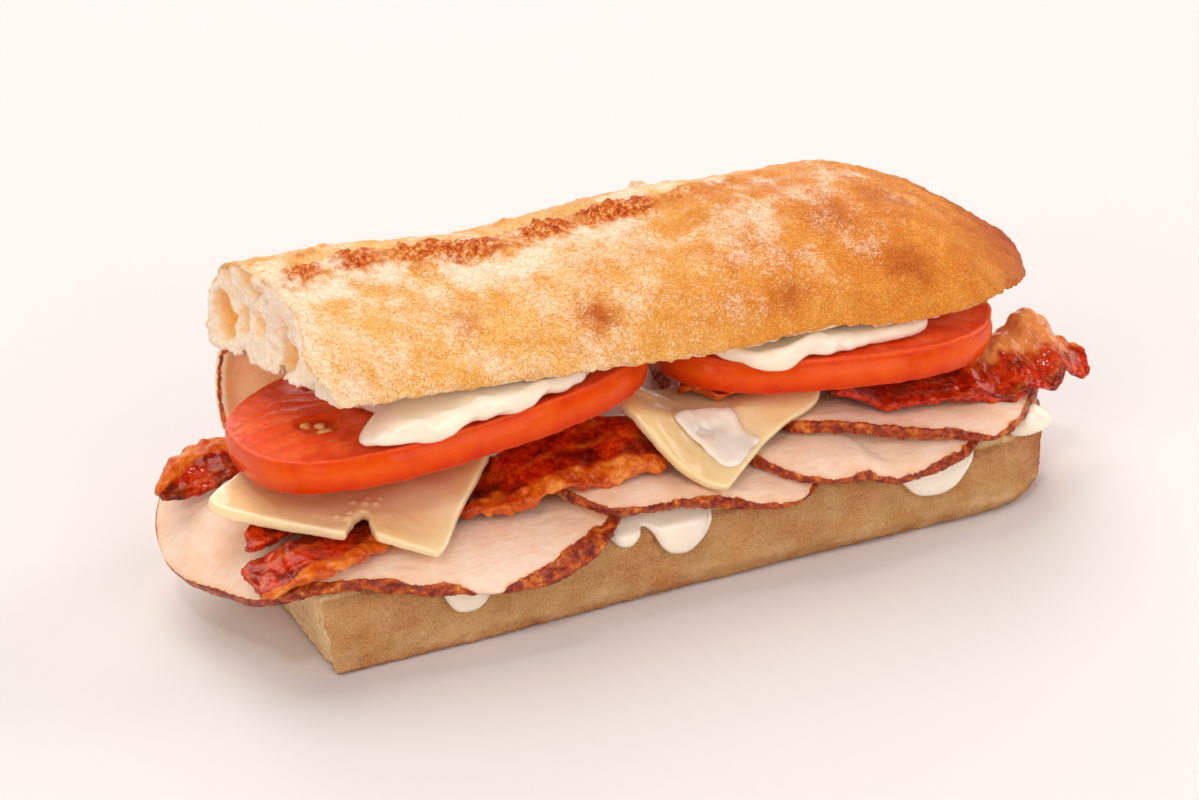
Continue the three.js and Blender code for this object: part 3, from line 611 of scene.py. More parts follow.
def build_turkey(settings, material):
    """The turkey slices: moist pale meat with a browned, peppered rim."""
    for number, (node, (band, spots)) in enumerate(TURKEY_SLICES.items()):
        shape = closed_copy(node)
        regions = face_regions(shape, 50)
        piece = fine_piece(node + "_slice", shape, TURKEY_SPACING, crease=0.75)
        points = points_of(piece)
        along, across = loaf_place(points)
        faces = [face for group in regions[:2] for face in group]
        rim = [face for group in regions[2:] for face in group]
        inward = distances(points, rim) - distances(points, faces)
        shape.free()
        width = band * (1 + 0.4 * lumps(points, 4, 31 + number, 2) * (band > 0))
        for at, spread, more in spots:
            width += more * hump(along, at, spread) * (across < 0)
        folded = node == "turkey_back_fold"
        if folded:
            bend = smoothstep(*FOLD_BENT, along)
            points = points + np.outer(bend, FOLD_SHIFT) + np.outer(bend ** 2, FOLD_LEAN)
            move_points(piece, points)
        thin = smoothstep(*OVERHANG, along) * (node == "turkey_left")
        width += thin * (THIN_RIM - width) * (1 - 0.4 * hump(across, -32, 7))
        crust = inward - settings.rim / MM * width
        rough = smoothstep(0.5, -0.3, crust) * (1 - 0.8 * thin)
        relief = 0.2 * lumps(points, 8, 41 + number, 2) + 0.06 * lumps(points, 2.5, 47, 2)
        relief += rough * (0.25 * lumps(points, 1.7, 51, 2) + 0.28 * lumps(points, 0.8, 52, 2))
        swell(piece, relief)
        paint(piece, "inward", crust)
        paint(piece, "folded", np.full(len(points), float(folded)))
        finish_piece(piece, material, "turkey", node)


def roast_turkey(settings):
    """Sliced roast turkey breast: smooth moist meat, faint grain, a granular browned rim."""
    material, tree, shader = new_material("roast_turkey_breast")
    place = add(tree, "ShaderNodeTexCoord", out="Object")
    inward = add(tree, "ShaderNodeAttribute", out="Fac", attribute_name="inward")
    folded = add(tree, "ShaderNodeAttribute", out="Fac", attribute_name="folded")
    cloud = add(
        tree, "ShaderNodeTexNoise",
        {"Vector": place, "Scale": per_mm(10), "Detail": 4, "Roughness": 0.6},
    )
    fibre_place = add(tree, "ShaderNodeMapping", {"Vector": place, "Scale": (1.0, 3.5, 2.0)})
    fibre = add(
        tree, "ShaderNodeTexNoise",
        {"Vector": fibre_place, "Scale": per_mm(3.2), "Detail": 5, "Roughness": 0.65},
    )
    grit = add(
        tree, "ShaderNodeTexNoise",
        {"Vector": place, "Scale": per_mm(2.0), "Detail": 4, "Roughness": 0.7},
    )
    meat = add(
        tree, "ShaderNodeValToRGB", {"Fac": cloud},
        stops=[(0.3, "EFC3A2"), (0.5, "F4D2B7"), (0.7, "F7DEC9")],
    )
    grain = add(
        tree, "ShaderNodeMapRange",
        {"Value": fibre, "From Min": 0.45, "From Max": 0.72, "To Max": 0.4},
    )
    rim = add(
        tree, "ShaderNodeValToRGB", {"Fac": grit},
        stops=[(0.34, "5A1203"), (0.44, "8A2606"), (0.54, "B0460A"), (0.64, "D0741E"), (0.74, "E09C4C")],
    )
    ragged = add(tree, "ShaderNodeMath", {0: grit, 1: -1.6, 2: inward}, operation="MULTIPLY_ADD")
    browned = add(tree, "ShaderNodeMapRange", {"Value": ragged, "From Min": -0.72, "From Max": -0.9})
    seared = add(
        tree, "ShaderNodeMapRange",
        {"Value": ragged, "From Min": 0.2, "From Max": -0.8, "To Max": 0.45},
    )
    colour = meat
    for amount, over in (
        (grain, settings.turkey_grain), (seared, linear("E2A66A")), (browned, rim),
    ):
        colour = add(tree, "ShaderNodeMix", {0: amount, 6: colour, 7: over}, 2, data_type="RGBA")
    rough = add(tree, "ShaderNodeMapRange", {"Value": browned, "To Min": 0.36, "To Max": 0.45})
    soft = add(tree, "ShaderNodeMapRange", {"Value": folded, "To Min": 0.15, "To Max": 1.0})
    reach = add(tree, "ShaderNodeMapRange", {"Value": folded, "To Min": 2 * MM, "To Max": 8 * MM})
    bumps = add(tree, "ShaderNodeMath", {0: browned, 1: grit, 2: fibre}, operation="MULTIPLY_ADD")
    bump = add(tree, "ShaderNodeBump", {"Height": bumps, "Strength": 0.5, "Distance": 0.4 * MM})
    set_shader(tree, shader, {
        "Base Color": colour, "Roughness": rough, "Normal": bump, "Specular IOR Level": 0.25,
        "Subsurface Weight": soft, "Subsurface Radius": (1.0, 0.6, 0.4), "Subsurface Scale": reach,
        "Coat Weight": 0.2, "Coat Roughness": 0.12,
    })
    return material


# Bacon

BACON_RASHERS = {  # node: fat in front, where the fat begins, wave length and height, mm, bubbles, seed
    "bacon_front_left": (True, 0.68, 10, 0.35, 0.6, 1),
    "bacon_front_left_under": (False, 0.95, 9, 0.3, 0.3, 2),
    "bacon_back_left": (False, 0.62, 11, 0.2, 0.3, 3),
    "bacon_middle": (True, 0.7, 13, 0.5, 1.2, 4),
    "bacon_inner": (True, 0.9, 9, 0.4, 0.6, 5),
    "bacon_right": (False, 0.8, 12, 0.4, 0.8, 6),
    "bacon_back_right": (False, 0.7, 12, 0.6, 0.4, 7),
}
BACON_SPACING = 0.33  # of the points on a rasher, mm
FREE_END = (134, 144)  # beyond these places along the loaf the rashers curl freely, mm
FAT_CURLS = {  # node: along and across the loaf, radius, rise in mm, how fat
    "bacon_right": [(153, -13.5, 6.5, 3, 1), (145.5, -15.5, 4, 1.6, 1), (139, -17, 3.4, 1, 1),
                    (137, -27, 4, -2.2, 0), (117, -27, 12, -2, 0)],
}


def build_bacon(material):
    """The bacon rashers: crisp and rippled, dark lean between bands of bubbled amber fat."""
    for node, (fat_in_front, fat_from, length, height, bubbly, seed) in BACON_RASHERS.items():
        shape = closed_copy(node)
        regions = face_regions(shape, 50)
        up = sum((f.normal * f.calc_area() for f in regions[0]), Vector()).normalized()
        up = np.array(up if up.z > 0 else -up)
        front_side, back_side = sorted(
            regions[2:4], key=lambda faces: np.mean([f.calc_center_median().y for f in faces])
        )
        first_end = min(regions[4:6], key=lambda faces: faces[0].calc_center_median().x)
        rim = [face for group in regions[2:] for face in group]
        piece = fine_piece(node + "_rasher", shape, BACON_SPACING, crease=0.35)
        points = points_of(piece)
        front = distances(points, front_side)
        back = distances(points, back_side)
        edge = distances(points, rim)
        lengthwise = distances(points, first_end)
        shape.free()
        along, across = loaf_place(points)
        share = front / (front + back + 1e-6)
        free_end = smoothstep(*FREE_END, along)
        frill = 0.35 + 0.65 * smoothstep(0.3, 0.95, np.abs(2 * share - 1))
        wave = np.sin(2 * math.pi * lengthwise / length + 2.2 * share + seed)
        rise = height * (1 + 0.9 * free_end) * frill * wave
        rise += height * 0.7 * lumps(points * [1, 1, 0.2], 5, seed + 40, 2)
        fat = share + 0.16 * lumps(points, 9, seed, 2) + 0.06 * lumps(points, 2.5, seed + 5)
        fat = 1 - fat if fat_in_front else fat
        curl_fat = np.zeros(len(points))
        for x, y, radius, lift, fatty in FAT_CURLS.get(node, ()):
            bulge = hump(np.hypot(along - x, across - y), 0, radius)
            rise += lift * bulge
            ragged = bulge + 0.15 * lumps(points, 2, 49)
            curl_fat = np.maximum(curl_fat, fatty * smoothstep(0.15, 0.45, ragged))
        rind = np.maximum(smoothstep(fat_from, fat_from + 0.1, fat), curl_fat)
        bubbles = np.clip(1 - (pores(points, 2.4, seed) / 0.6) ** 2, 0, 1)
        relief = rind * bubbly * 0.65 * bubbles
        relief += 0.2 * lumps(points, 3, seed + 9, 2) + 0.16 * lumps(points, 1.5, seed + 10, 2)
        relief -= (1 - rind) * 0.35 * smoothstep(0.45, 0.15, pores(points, 4, seed + 3))
        relief += smoothstep(1.8, 0, edge) * (0.5 * lumps(points, 2.2, seed + 20, 2) - 0.15)
        swell(piece, relief)
        move_points(piece, points_of(piece) + rise[:, None] * up)
        streak = 0.75 * hump(fat, fat_from - 0.3, 0.045) + 0.4 * hump(fat, 0.14, 0.05)
        streak *= 0.6 + 0.8 * lumps(points, 5, seed + 60)
        paint(piece, "fat", np.clip(rind + streak, 0, 1))
        paint(piece, "pale", curl_fat * smoothstep(0.2, 1.2, rise))
        paint(piece, "char", np.clip(0.25 + 1.3 * lumps(points, 5, seed + 30, 2), 0, 1) * (1 - rind))
        finish_piece(piece, material, "bacon", node)


def fried_bacon(settings):
    """Streaky bacon fried crisp: wet with its own fat, so it glints in small spots on dark lean."""
    material, tree, shader = new_material("fried_streaky_bacon")
    place = add(tree, "ShaderNodeTexCoord", out="Object")
    fat = add(tree, "ShaderNodeAttribute", out="Fac", attribute_name="fat")
    char = add(tree, "ShaderNodeAttribute", out="Fac", attribute_name="char")
    pale = add(tree, "ShaderNodeAttribute", out="Fac", attribute_name="pale")
    bits = add(
        tree, "ShaderNodeTexNoise",
        {"Vector": place, "Scale": per_mm(1.4), "Detail": 4, "Roughness": 0.7},
    )
    cloud = add(
        tree, "ShaderNodeTexNoise",
        {"Vector": place, "Scale": per_mm(4), "Detail": 4, "Roughness": 0.65},
    )
    lean = add(
        tree, "ShaderNodeValToRGB", {"Fac": bits},
        stops=[(0.36, "961402"), (0.5, "BE2A04"), (0.64, "DA5010")],
    )
    dark = add(tree, "ShaderNodeValToRGB", {"Fac": bits}, stops=[(0.4, "4A0701"), (0.6, "861A04")])
    lean = add(tree, "ShaderNodeMix", {0: char, 6: lean, 7: dark}, 2, data_type="RGBA")
    rind = add(
        tree, "ShaderNodeValToRGB", {"Fac": cloud},
        stops=[(0.34, "AC3A08"), (0.46, "CA5E14"), (0.58, "DA8028"), (0.7, "EAA656")],
    )
    bleach = add(tree, "ShaderNodeMath", {0: pale, 1: 0.55}, operation="MULTIPLY")
    rind = add(tree, "ShaderNodeMix", {0: bleach, 6: rind, 7: settings.pale_fat}, 2, data_type="RGBA")
    colour = add(tree, "ShaderNodeMix", {0: fat, 6: lean, 7: rind}, 2, data_type="RGBA")
    rough = add(
        tree, "ShaderNodeMapRange",
        {"Value": bits, "From Min": 0.35, "From Max": 0.65, "To Min": 0.2, "To Max": 0.4},
    )
    bump = add(tree, "ShaderNodeBump", {"Height": bits, "Strength": 0.6, "Distance": 0.4 * MM})
    set_shader(tree, shader, {
        "Base Color": colour, "Roughness": rough, "Normal": bump, "Specular IOR Level": 0.15,
        "Specular Tint": linear("FFB080"),
        "Subsurface Weight": 0.1, "Subsurface Radius": (1.0, 0.3, 0.1), "Subsurface Scale": 1.5 * MM,
        "Coat Weight": 0.5, "Coat Roughness": 0.1, "Coat Tint": linear("FFC898"),
    })
    return material


# Cheese

CHEESE_SPACING = 0.36  # of the points on a slice, mm
CHEESE_BUBBLES = {  # along and across the loaf, radius in mm
    "cheese_left": [
        (12.4, -20.9, 1.1), (10.8, -19.7, 0.8), (14.1, -21.9, 0.9), (13.4, -19.6, 0.7),
        (7.8, -24.7, 1.2), (6.4, -23.3, 0.8), (9.0, -23.1, 0.7), (15.6, -20.4, 0.6),
    ],
}
SMEAR_OUTLINE = [  # along and across the loaf in mm: the sauce on the right cheese slice
    (70.4, -23.2), (71, -22), (72.6, -21), (75.4, -20.6), (78.3, -20.2), (81.4, -20.6), (83.8, -21.6),
    (83.4, -24.3), (83.8, -26.6), (85.9, -28.2), (84, -29.6), (81, -30.6), (78, -31.6), (76.2, -29.6),
    (74.4, -26.2), (71.8, -24.6),
]
SMEAR_RINGS = [(1.04, 0.0), (1.0, 0.55), (0.88, 1.0), (0.6, 0.95), (0.3, 0.85)]  # reach, height
SMEAR_SUNK = 0.15  # how far the sauce is sunk into the slice, mm
OVER_SLICE = 60  # a height over the slice, from which its surface is looked for, mm


def build_cheese(settings, material, sauce):
    """The cheese slices, slumped a little from the heat, and a smear of sauce on the right one."""
    for node in ("cheese_left", "cheese_right"):
        shape = closed_copy(node)
        regions = face_regions(shape, 50)
        rim = [face for group in regions[2:] for face in group]
        piece = fine_piece(node + "_slice", shape, CHEESE_SPACING, crease=0.75, relax=4)
        points = points_of(piece)
        edge = distances(points, rim)
        shape.free()
        along, across = loaf_place(points)
        slump = 0.16 * lumps(points, 6, 61, 2) + 0.03 * lumps(points, 1.5, 62, 2)
        blisters = 0.0
        for at_x, at_y, radius in CHEESE_BUBBLES.get(node, ()):
            away = np.hypot(along - at_x, across - at_y)
            blisters = blisters + 0.35 * np.clip(1 - (away / radius) ** 2, 0, 1)
        swell(piece, slump + blisters)
        paint(piece, "edge", edge)
        finish_piece(piece, material, "cheese", node)
    build_smear(piece, settings.smear / MM, sauce)


def young_cheese(settings):
    """Young sliced cheese: a waxy, slightly see-through slab with a sheen of butterfat."""
    material, tree, shader = new_material("sliced_young_cheese")
    place = add(tree, "ShaderNodeTexCoord", out="Object")
    edge = add(tree, "ShaderNodeAttribute", out="Fac", attribute_name="edge")
    cloud = add(tree, "ShaderNodeTexNoise", {"Vector": place, "Scale": per_mm(11), "Detail": 3})
    body = add(
        tree, "ShaderNodeValToRGB", {"Fac": cloud},
        stops=[(0.3, "F8CC90"), (0.55, "FAD5A2"), (0.75, "FBDFB4")],
    )
    # Painted highlight: the slice is lighter along its edges
    rim = add(
        tree, "ShaderNodeMapRange",
        {"Value": edge, "From Min": 1.0, "From Max": 0.1, "To Max": 0.3},
    )
    colour = add(tree, "ShaderNodeMix", {0: rim, 6: body, 7: settings.cheese_rim_highlight}, 2, data_type="RGBA")
    dimple = add(tree, "ShaderNodeTexNoise", {"Vector": place, "Scale": per_mm(2.2), "Detail": 3})
    bump = add(tree, "ShaderNodeBump", {"Height": dimple, "Strength": 0.35, "Distance": 0.3 * MM})
    set_shader(tree, shader, {
        "Base Color": colour, "Roughness": 0.28, "Normal": bump,
        "Subsurface Weight": 0.5, "Subsurface Radius": (1.0, 0.75, 0.5), "Subsurface Scale": 6 * MM,
        "Coat Weight": 0.6, "Coat Roughness": 0.1,
    })
    return material


def build_smear(cheese, thickness, material):
    """A glossy patch of sauce that lies on a slice."""
    tree = BVHTree.FromObject(cheese, bpy.context.evaluated_depsgraph_get())
    outline = np.array(SMEAR_OUTLINE) + [CUT_X, MIDDLE_Y]
    middle = outline.mean(axis=0)
    shape = bmesh.new()
    rings = []
    for reach, raised in SMEAR_RINGS:
        ring = []
        for corner in outline:
            spot = middle + (corner - middle) * reach
            hit, normal, _, _ = tree.ray_cast(Vector((*spot, OVER_SLICE)) * MM, Vector((0, 0, -1)))
            if hit is None:
                raise RuntimeError("the sauce has left the slice")
            ring.append(shape.verts.new(hit + normal * (raised * thickness - SMEAR_SUNK) * MM))
        rings.append(ring)
    for outer, inner in zip(rings, rings[1:]):
        for i in range(len(outer)):
            j = (i + 1) % len(outer)
            shape.faces.new((outer[i], outer[j], inner[j], inner[i]))
    shape.faces.new(rings[-1])
    shape.faces.new(reversed(rings[0]))
    bmesh.ops.recalc_face_normals(shape, faces=shape.faces)
    piece = fine_piece("sauce_on_cheese", shape, None, crease=0.0, bend=180, levels=3)
    shape.free()
    swell(piece, 0.5 * lumps(points_of(piece), 4, 63, 2))
    finish_piece(piece, material, "mayonnaise")


# Tomato

TOMATO_NODES = {"tomato_left": (0.925, 0.2), "tomato_right": (0.6, 0.55)}  # first pocket's turn, extra mm
TOMATO_SPACING = 0.3  # of the points on a slice, mm
TOMATO_POCKETS = 5
POCKET_REACH = 0.63  # of a slice's radius
POCKET_SIZES = ((3.4, 6.4), (3.4, 5.9), (3.4, 5.4))  # half sizes outward and around, mm
SEED_ROW = ((-2.6, 0.5), (-0.4, -0.7), (2.3, 0.4))  # around and outward in a pocket, mm
SEED_SIZE = (1.6, 0.95, 0.5)  # half length, width and thickness, mm
SEED_DROP = 5  # height over the slice from which a seed falls on it, mm


def build_tomato(flesh, seed_material):
    """The tomato slices: a glossy skin round wet flesh, with seed pockets in their faces."""
    seeds = bmesh.new()
    for node, (turn, thicker) in TOMATO_NODES.items():
        shape = closed_copy(node)
        regions = face_regions(shape, 40)
        faces = regions[0] + regions[1]
        rim = [face for group in regions[2:] for face in group]
        top = sorted(regions[:2], key=lambda g: np.mean([f.calc_center_median().z for f in g]))[1]
        top_normal = sum((f.normal * f.calc_area() for f in top), Vector()).normalized()
        centre = np.mean([f.calc_center_median() for f in top], axis=0) / MM
        piece = fine_piece(node + "_slice", shape, TOMATO_SPACING, crease=1.0, bend=30, relax=1)
        points = points_of(piece)
        into = distances(points, rim)
        from_face = distances(points, faces)
        from_top = distances(points, top)
        shape.free()
        # Each face has its own flat axes, because the slices lie at a slant
        lengthwise = Vector((1, 0, 0)) - top_normal * top_normal.x
        axes = np.array([lengthwise.normalized(), top_normal.cross(lengthwise.normalized())])
        flat = (points - centre) @ axes.T
        reach = np.abs(flat).max(axis=0)
        radius = np.hypot(*(flat / reach).T)
        on_face = smoothstep(0.5, 0.15, from_face)
        pocket = np.zeros(len(points))
        wobble = lumps(points, 4, 71, 2)
        spots = []
        for number in range(TOMATO_POCKETS):
            heading = turn + 2 * math.pi * number / TOMATO_POCKETS
            outward = np.array([math.cos(heading), math.sin(heading)])
            spot = POCKET_REACH * reach * outward
            spots.append((spot, outward))
            away = flat - spot
            deep, wide = POCKET_SIZES[number % len(POCKET_SIZES)]
            size = np.hypot(away @ outward / deep, away @ np.array([-outward[1], outward[0]]) / wide)
            pocket = np.maximum(pocket, smoothstep(1.15, 0.75, size + 0.3 * wobble))
        turned = np.arctan2(*(flat / reach).T)
        streaks = np.sin(27 * turned + 2.5 * wobble) * smoothstep(0.35, 0.6, radius)
        relief = on_face * (0.09 * lumps(points, 2.2, 72, 2) - 0.7 * pocket)
        relief += 0.05 * on_face * streaks + 0.1 * lumps(points, 12, 73)
        relief -= 0.12 * hump(radius, 0.2, 0.12) * on_face
        relief += thicker * smoothstep(0.6, 0.1, from_top)
        swell(piece, relief)
        paint(piece, "pocket", pocket * on_face)
        paint(piece, "skin", smoothstep(0.08, 0.22, from_face) * smoothstep(1.6, 0.8, into))
        paint(piece, "rim", into)
        # Painted light on the skin: lighter in a band near its top, darker towards its lower edge
        paint(piece, "bulge", hump(from_top, 2.4, 1.5) - smoothstep(3.4, 6, from_top))
        paint(piece, "radius", radius)
        paint(piece, "streak", np.clip(streaks, 0, 1))
        finish_piece(piece, flesh, "tomato", node)
        tree = BVHTree.FromObject(piece, bpy.context.evaluated_depsgraph_get())
        for number, (spot, outward) in enumerate(spots):
            aside = np.array([-outward[1], outward[0]])
            for step, (slide, deeper) in enumerate(SEED_ROW):
                flat_spot = spot + aside * (slide + 0.5 * math.sin(3 * number + step)) + outward * deeper
                above = centre + flat_spot @ axes + np.array(top_normal) * SEED_DROP
                hit = tree.ray_cast(Vector(above) * MM, -top_normal)[0]
                if hit is not None:
                    heading = math.atan2(aside[1], aside[0]) + 0.7 * math.sin(5 * number + 2 * step)
                    add_seed(seeds, hit, top_normal, heading)
    mesh = bpy.data.meshes.new("tomato_seeds")
    seeds.to_mesh(mesh)
    seeds.free()
    mesh.shade_smooth()
    finish_piece(new_piece("tomato_seeds", mesh), seed_material, "tomato")


def add_seed(seeds, place, normal, heading):
    """Adds one flat drop-shaped seed on a surface, half sunk in its jelly."""
    made = bmesh.ops.create_uvsphere(seeds, u_segments=12, v_segments=8, radius=1)["verts"]
    ahead = Vector((math.cos(heading), math.sin(heading), 0))
    ahead = (ahead - normal * ahead.dot(normal)).normalized()
    aside = normal.cross(ahead)
    length, width, thickness = SEED_SIZE
    for vert in made:
        x, y, z = vert.co
        slim = 1 - 0.35 * x
        vert.co = place + (ahead * length * x + aside * width * slim * y + normal * thickness * z) * MM


def sliced_tomato(settings):
    """Ripe tomato: thin shining skin, wet flesh that lets red light through, jelly in the pockets."""
    material, tree, shader = new_material("ripe_tomato")
    place = add(tree, "ShaderNodeTexCoord", out="Object")
    read = {
        name: add(tree, "ShaderNodeAttribute", out="Fac", attribute_name=name)
        for name in ("pocket", "skin", "rim", "radius", "streak", "bulge")
    }
    cloud = add(
        tree, "ShaderNodeTexNoise",
        {"Vector": place, "Scale": per_mm(6), "Detail": 4, "Roughness": 0.6},
    )
    fine = add(
        tree, "ShaderNodeTexNoise",
        {"Vector": place, "Scale": per_mm(1.4), "Detail": 4, "Roughness": 0.7},
    )
    flesh = add(
        tree, "ShaderNodeValToRGB", {"Fac": cloud},
        stops=[(0.3, "E43C0C"), (0.5, "EE5822"), (0.72, "F4763E")],
    )
    speck = add(
        tree, "ShaderNodeMapRange", {"Value": fine, "From Min": 0.54, "From Max": 0.7, "To Max": 0.4},
    )
    core = add(
        tree, "ShaderNodeMapRange",
        {"Value": read["radius"], "From Min": 0.34, "From Max": 0.08, "To Max": 0.45},
    )
    vein = add(tree, "ShaderNodeMath", {0: read["streak"], 1: 0.28}, operation="MULTIPLY")
    jelly = add(tree, "ShaderNodeValToRGB", {"Fac": cloud}, stops=[(0.35, "C02A04"), (0.65, "E06A1C")])
    wall = add(
        tree, "ShaderNodeMapRange",
        {"Value": read["rim"], "From Min": 2.2, "From Max": 1.2, "To Max": 0.6},
    )
    # Painted highlight: a thin lighter line where the cut face meets the skin
    painted_rim_highlight = add(
        tree, "ShaderNodeMapRange",
        {"Value": read["rim"], "From Min": 0.45, "From Max": 0.25, "To Max": 0.7},
    )
    skin = add(
        tree, "ShaderNodeValToRGB", {"Fac": cloud},
        stops=[(0.3, "D02E00"), (0.5, "DE4300"), (0.75, "E65804")],
    )
    # Painted highlight and painted shade on the skin, read from bulge: lighter near its top, darker
    # towards its lower edge
    painted_peel_highlight = add(tree, "ShaderNodeMath", {0: read["bulge"], 1: 0.2}, operation="MULTIPLY")
    painted_peel_shade = add(tree, "ShaderNodeMath", {0: read["bulge"], 1: -0.5}, operation="MULTIPLY")
    for amount, over in ((painted_peel_highlight, linear("F88230")), (painted_peel_shade, linear("B41E00"))):
        skin = add(tree, "ShaderNodeMix", {0: amount, 6: skin, 7: over}, 2, data_type="RGBA")
    colour = flesh
    for amount, over in (
        (speck, linear("EF8250")), (core, linear("EE8E62")), (vein, linear("BE1E02")),
        (read["pocket"], jelly), (wall, settings.tomato_wall), (painted_rim_highlight, linear("F0683A")),
        (read["skin"], skin),
    ):
        colour = add(tree, "ShaderNodeMix", {0: amount, 6: colour, 7: over}, 2, data_type="RGBA")
    bump = add(tree, "ShaderNodeBump", {"Height": fine, "Strength": 0.3, "Distance": 0.15 * MM})
    set_shader(tree, shader, {
        "Base Color": colour, "Roughness": 0.35, "Normal": bump, "Specular IOR Level": 0.1,
        "Specular Tint": linear("FFB080"),
        "Subsurface Weight": 0.1, "Subsurface Radius": (1.0, 0.2, 0.05), "Subsurface Scale": 3 * MM,
        "Coat Weight": 0.2, "Coat Roughness": 0.1, "Coat Tint": linear("FFC8A0"),
    })
    return material


def tomato_seed():
    """A seed in its coat of jelly: pale straw, wet."""
    material, tree, shader = new_material("tomato_seed")
    place = add(tree, "ShaderNodeTexCoord", out="Object")
    tint = add(tree, "ShaderNodeTexNoise", {"Vector": place, "Scale": per_mm(2)})
    colour = add(tree, "ShaderNodeValToRGB", {"Fac": tint}, stops=[(0.3, "DB8A45"), (0.7, "F0BE76")])
    set_shader(tree, shader, {
        "Base Color": colour, "Roughness": 0.2, "Subsurface Weight": 0.4, "Subsurface Scale": 1.5 * MM,
    })
    return material


# Mayonnaise

SQUEEZE_SPACING = 0.4  # of the points on what is squeezed from under the lid, mm
MAYO_SAGS = {  # node: along and across the loaf, radius, forward, down, mm
    "mayo_upper_left": [(23, -29.5, 9, 1.2, 1.0), (36, -32, 7, 1.0, 0.8)],
    "mayo_upper_right": [(88, -25.5, 9, 1.4, 0.9), (102, -27.5, 8, 0.6, 0.2)],
}
MAYO_BLOBS = [  # along and across the loaf, height, half lengths in mm, turn in degrees
    ((143.6, -28.7, 18.6), (4.9, 2.6, 2.8), 8),
]
BLOB_DROOP = 0.06  # how far a dollop hangs at 1 mm from its middle, growing with the square, mm


def build_mayonnaise(material):
    """The mayonnaise: a spread on the heel that runs over, and two squeezed from under the lid."""
    shape = closed_copy("mayo_base")
    piece = fine_piece("mayonnaise_on_heel", shape, None, crease=0.0, bend=180, levels=3)
    shape.free()
    points = points_of(piece)
    normals = normals_of(piece)
    hanging = smoothstep(HEEL_HIGH[2] + 0.2, HEEL_HIGH[2] - 1.5, points[:, 2]) * (normals[:, 1] < 0)
    swell(piece, 0.7 * hanging + 0.3 * lumps(points, 4, 81) * hanging)
    finish_piece(piece, material, "mayonnaise", "mayo_base")
    for node, sags in MAYO_SAGS.items():
        shape = closed_copy(node)
        piece = fine_piece(node + "_squeeze", shape, SQUEEZE_SPACING, crease=0.0, bend=180, relax=8)
        shape.free()
        points = points_of(piece)
        front = smoothstep(0.2, -0.6, normals_of(piece)[:, 1])
        folds = lumps(points * [1, 1, 1.8], 5, 82, 2)
        swell(piece, front * (0.7 + 0.8 * folds))
        points = points_of(piece)
        along, across = loaf_place(points)
        for at_x, at_y, radius, forward, down in sags:
            pull = smoothstep(radius, 0.2 * radius, np.hypot(along - at_x, across - at_y))
            points[:, 1] -= forward * pull
            points[:, 2] -= down * pull
        move_points(piece, points)
        finish_piece(piece, material, "mayonnaise", node)
    for number, (place, size, turn) in enumerate(MAYO_BLOBS):
        build_blob(f"mayonnaise_blob_{number}", place, size, turn, material)


def build_blob(name, place, size, turn, material):
    """A smooth dollop of mayonnaise of its own."""
    mesh = bpy.data.meshes.new(name)
    shape = bmesh.new()
    bmesh.ops.create_icosphere(shape, subdivisions=5, radius=1)
    angle = math.radians(turn)
    for vert in shape.verts:
        x, y, z = (vert.co[i] * size[i] for i in range(3))
        z -= BLOB_DROOP * x * x
        vert.co = Vector((
            CUT_X + place[0] + x * math.cos(angle) - y * math.sin(angle),
            MIDDLE_Y + place[1] + x * math.sin(angle) + y * math.cos(angle),
            place[2] + z,
        )) * MM
    shape.to_mesh(mesh)
    shape.free()
    mesh.shade_smooth()
    piece = new_piece(name, mesh)
    swell(piece, 0.35 * lumps(points_of(piece), 4, 84, 2))
    finish_piece(piece, material, "mayonnaise")


def egg_mayonnaise():
    """Mayonnaise: an opaque cream with a wet sheen."""
    material, tree, shader = new_material("egg_mayonnaise")
    place = add(tree, "ShaderNodeTexCoord", out="Object")
    cloud = add(tree, "ShaderNodeTexNoise", {"Vector": place, "Scale": per_mm(8), "Detail": 2})
    colour = add(tree, "ShaderNodeValToRGB", {"Fac": cloud}, stops=[(0.3, "FBE5CA"), (0.7, "FFF0DC")])
    ripple = add(tree, "ShaderNodeTexNoise", {"Vector": place, "Scale": per_mm(3.5), "Detail": 2})
    bump = add(tree, "ShaderNodeBump", {"Height": ripple, "Strength": 0.25, "Distance": 0.4 * MM})
    set_shader(tree, shader, {
        "Base Color": colour, "Roughness": 0.22, "Normal": bump,
        "Subsurface Weight": 0.4, "Subsurface Radius": (1.0, 0.95, 0.85), "Subsurface Scale": 4 * MM,
        "Coat Weight": 0.4, "Coat Roughness": 0.08,
    })
    return material


# The stage

FLOOR_REACH = 3.0  # metres from the middle to each side
LIGHTS = {  # turn about the sandwich, height above the floor and spread in degrees, and strength
    "key_light": (105, 65, 50, 1.7),
    "glint_light": (235, 58, 6, 0.4),
    "back_light": (72, 25, 45, 1.1),
    "end_light": (0, 25, 45, 1.2),
    "front_light": (285, 25, 45, 1.1),
    "left_light": (210, 28, 45, 1.2),
}


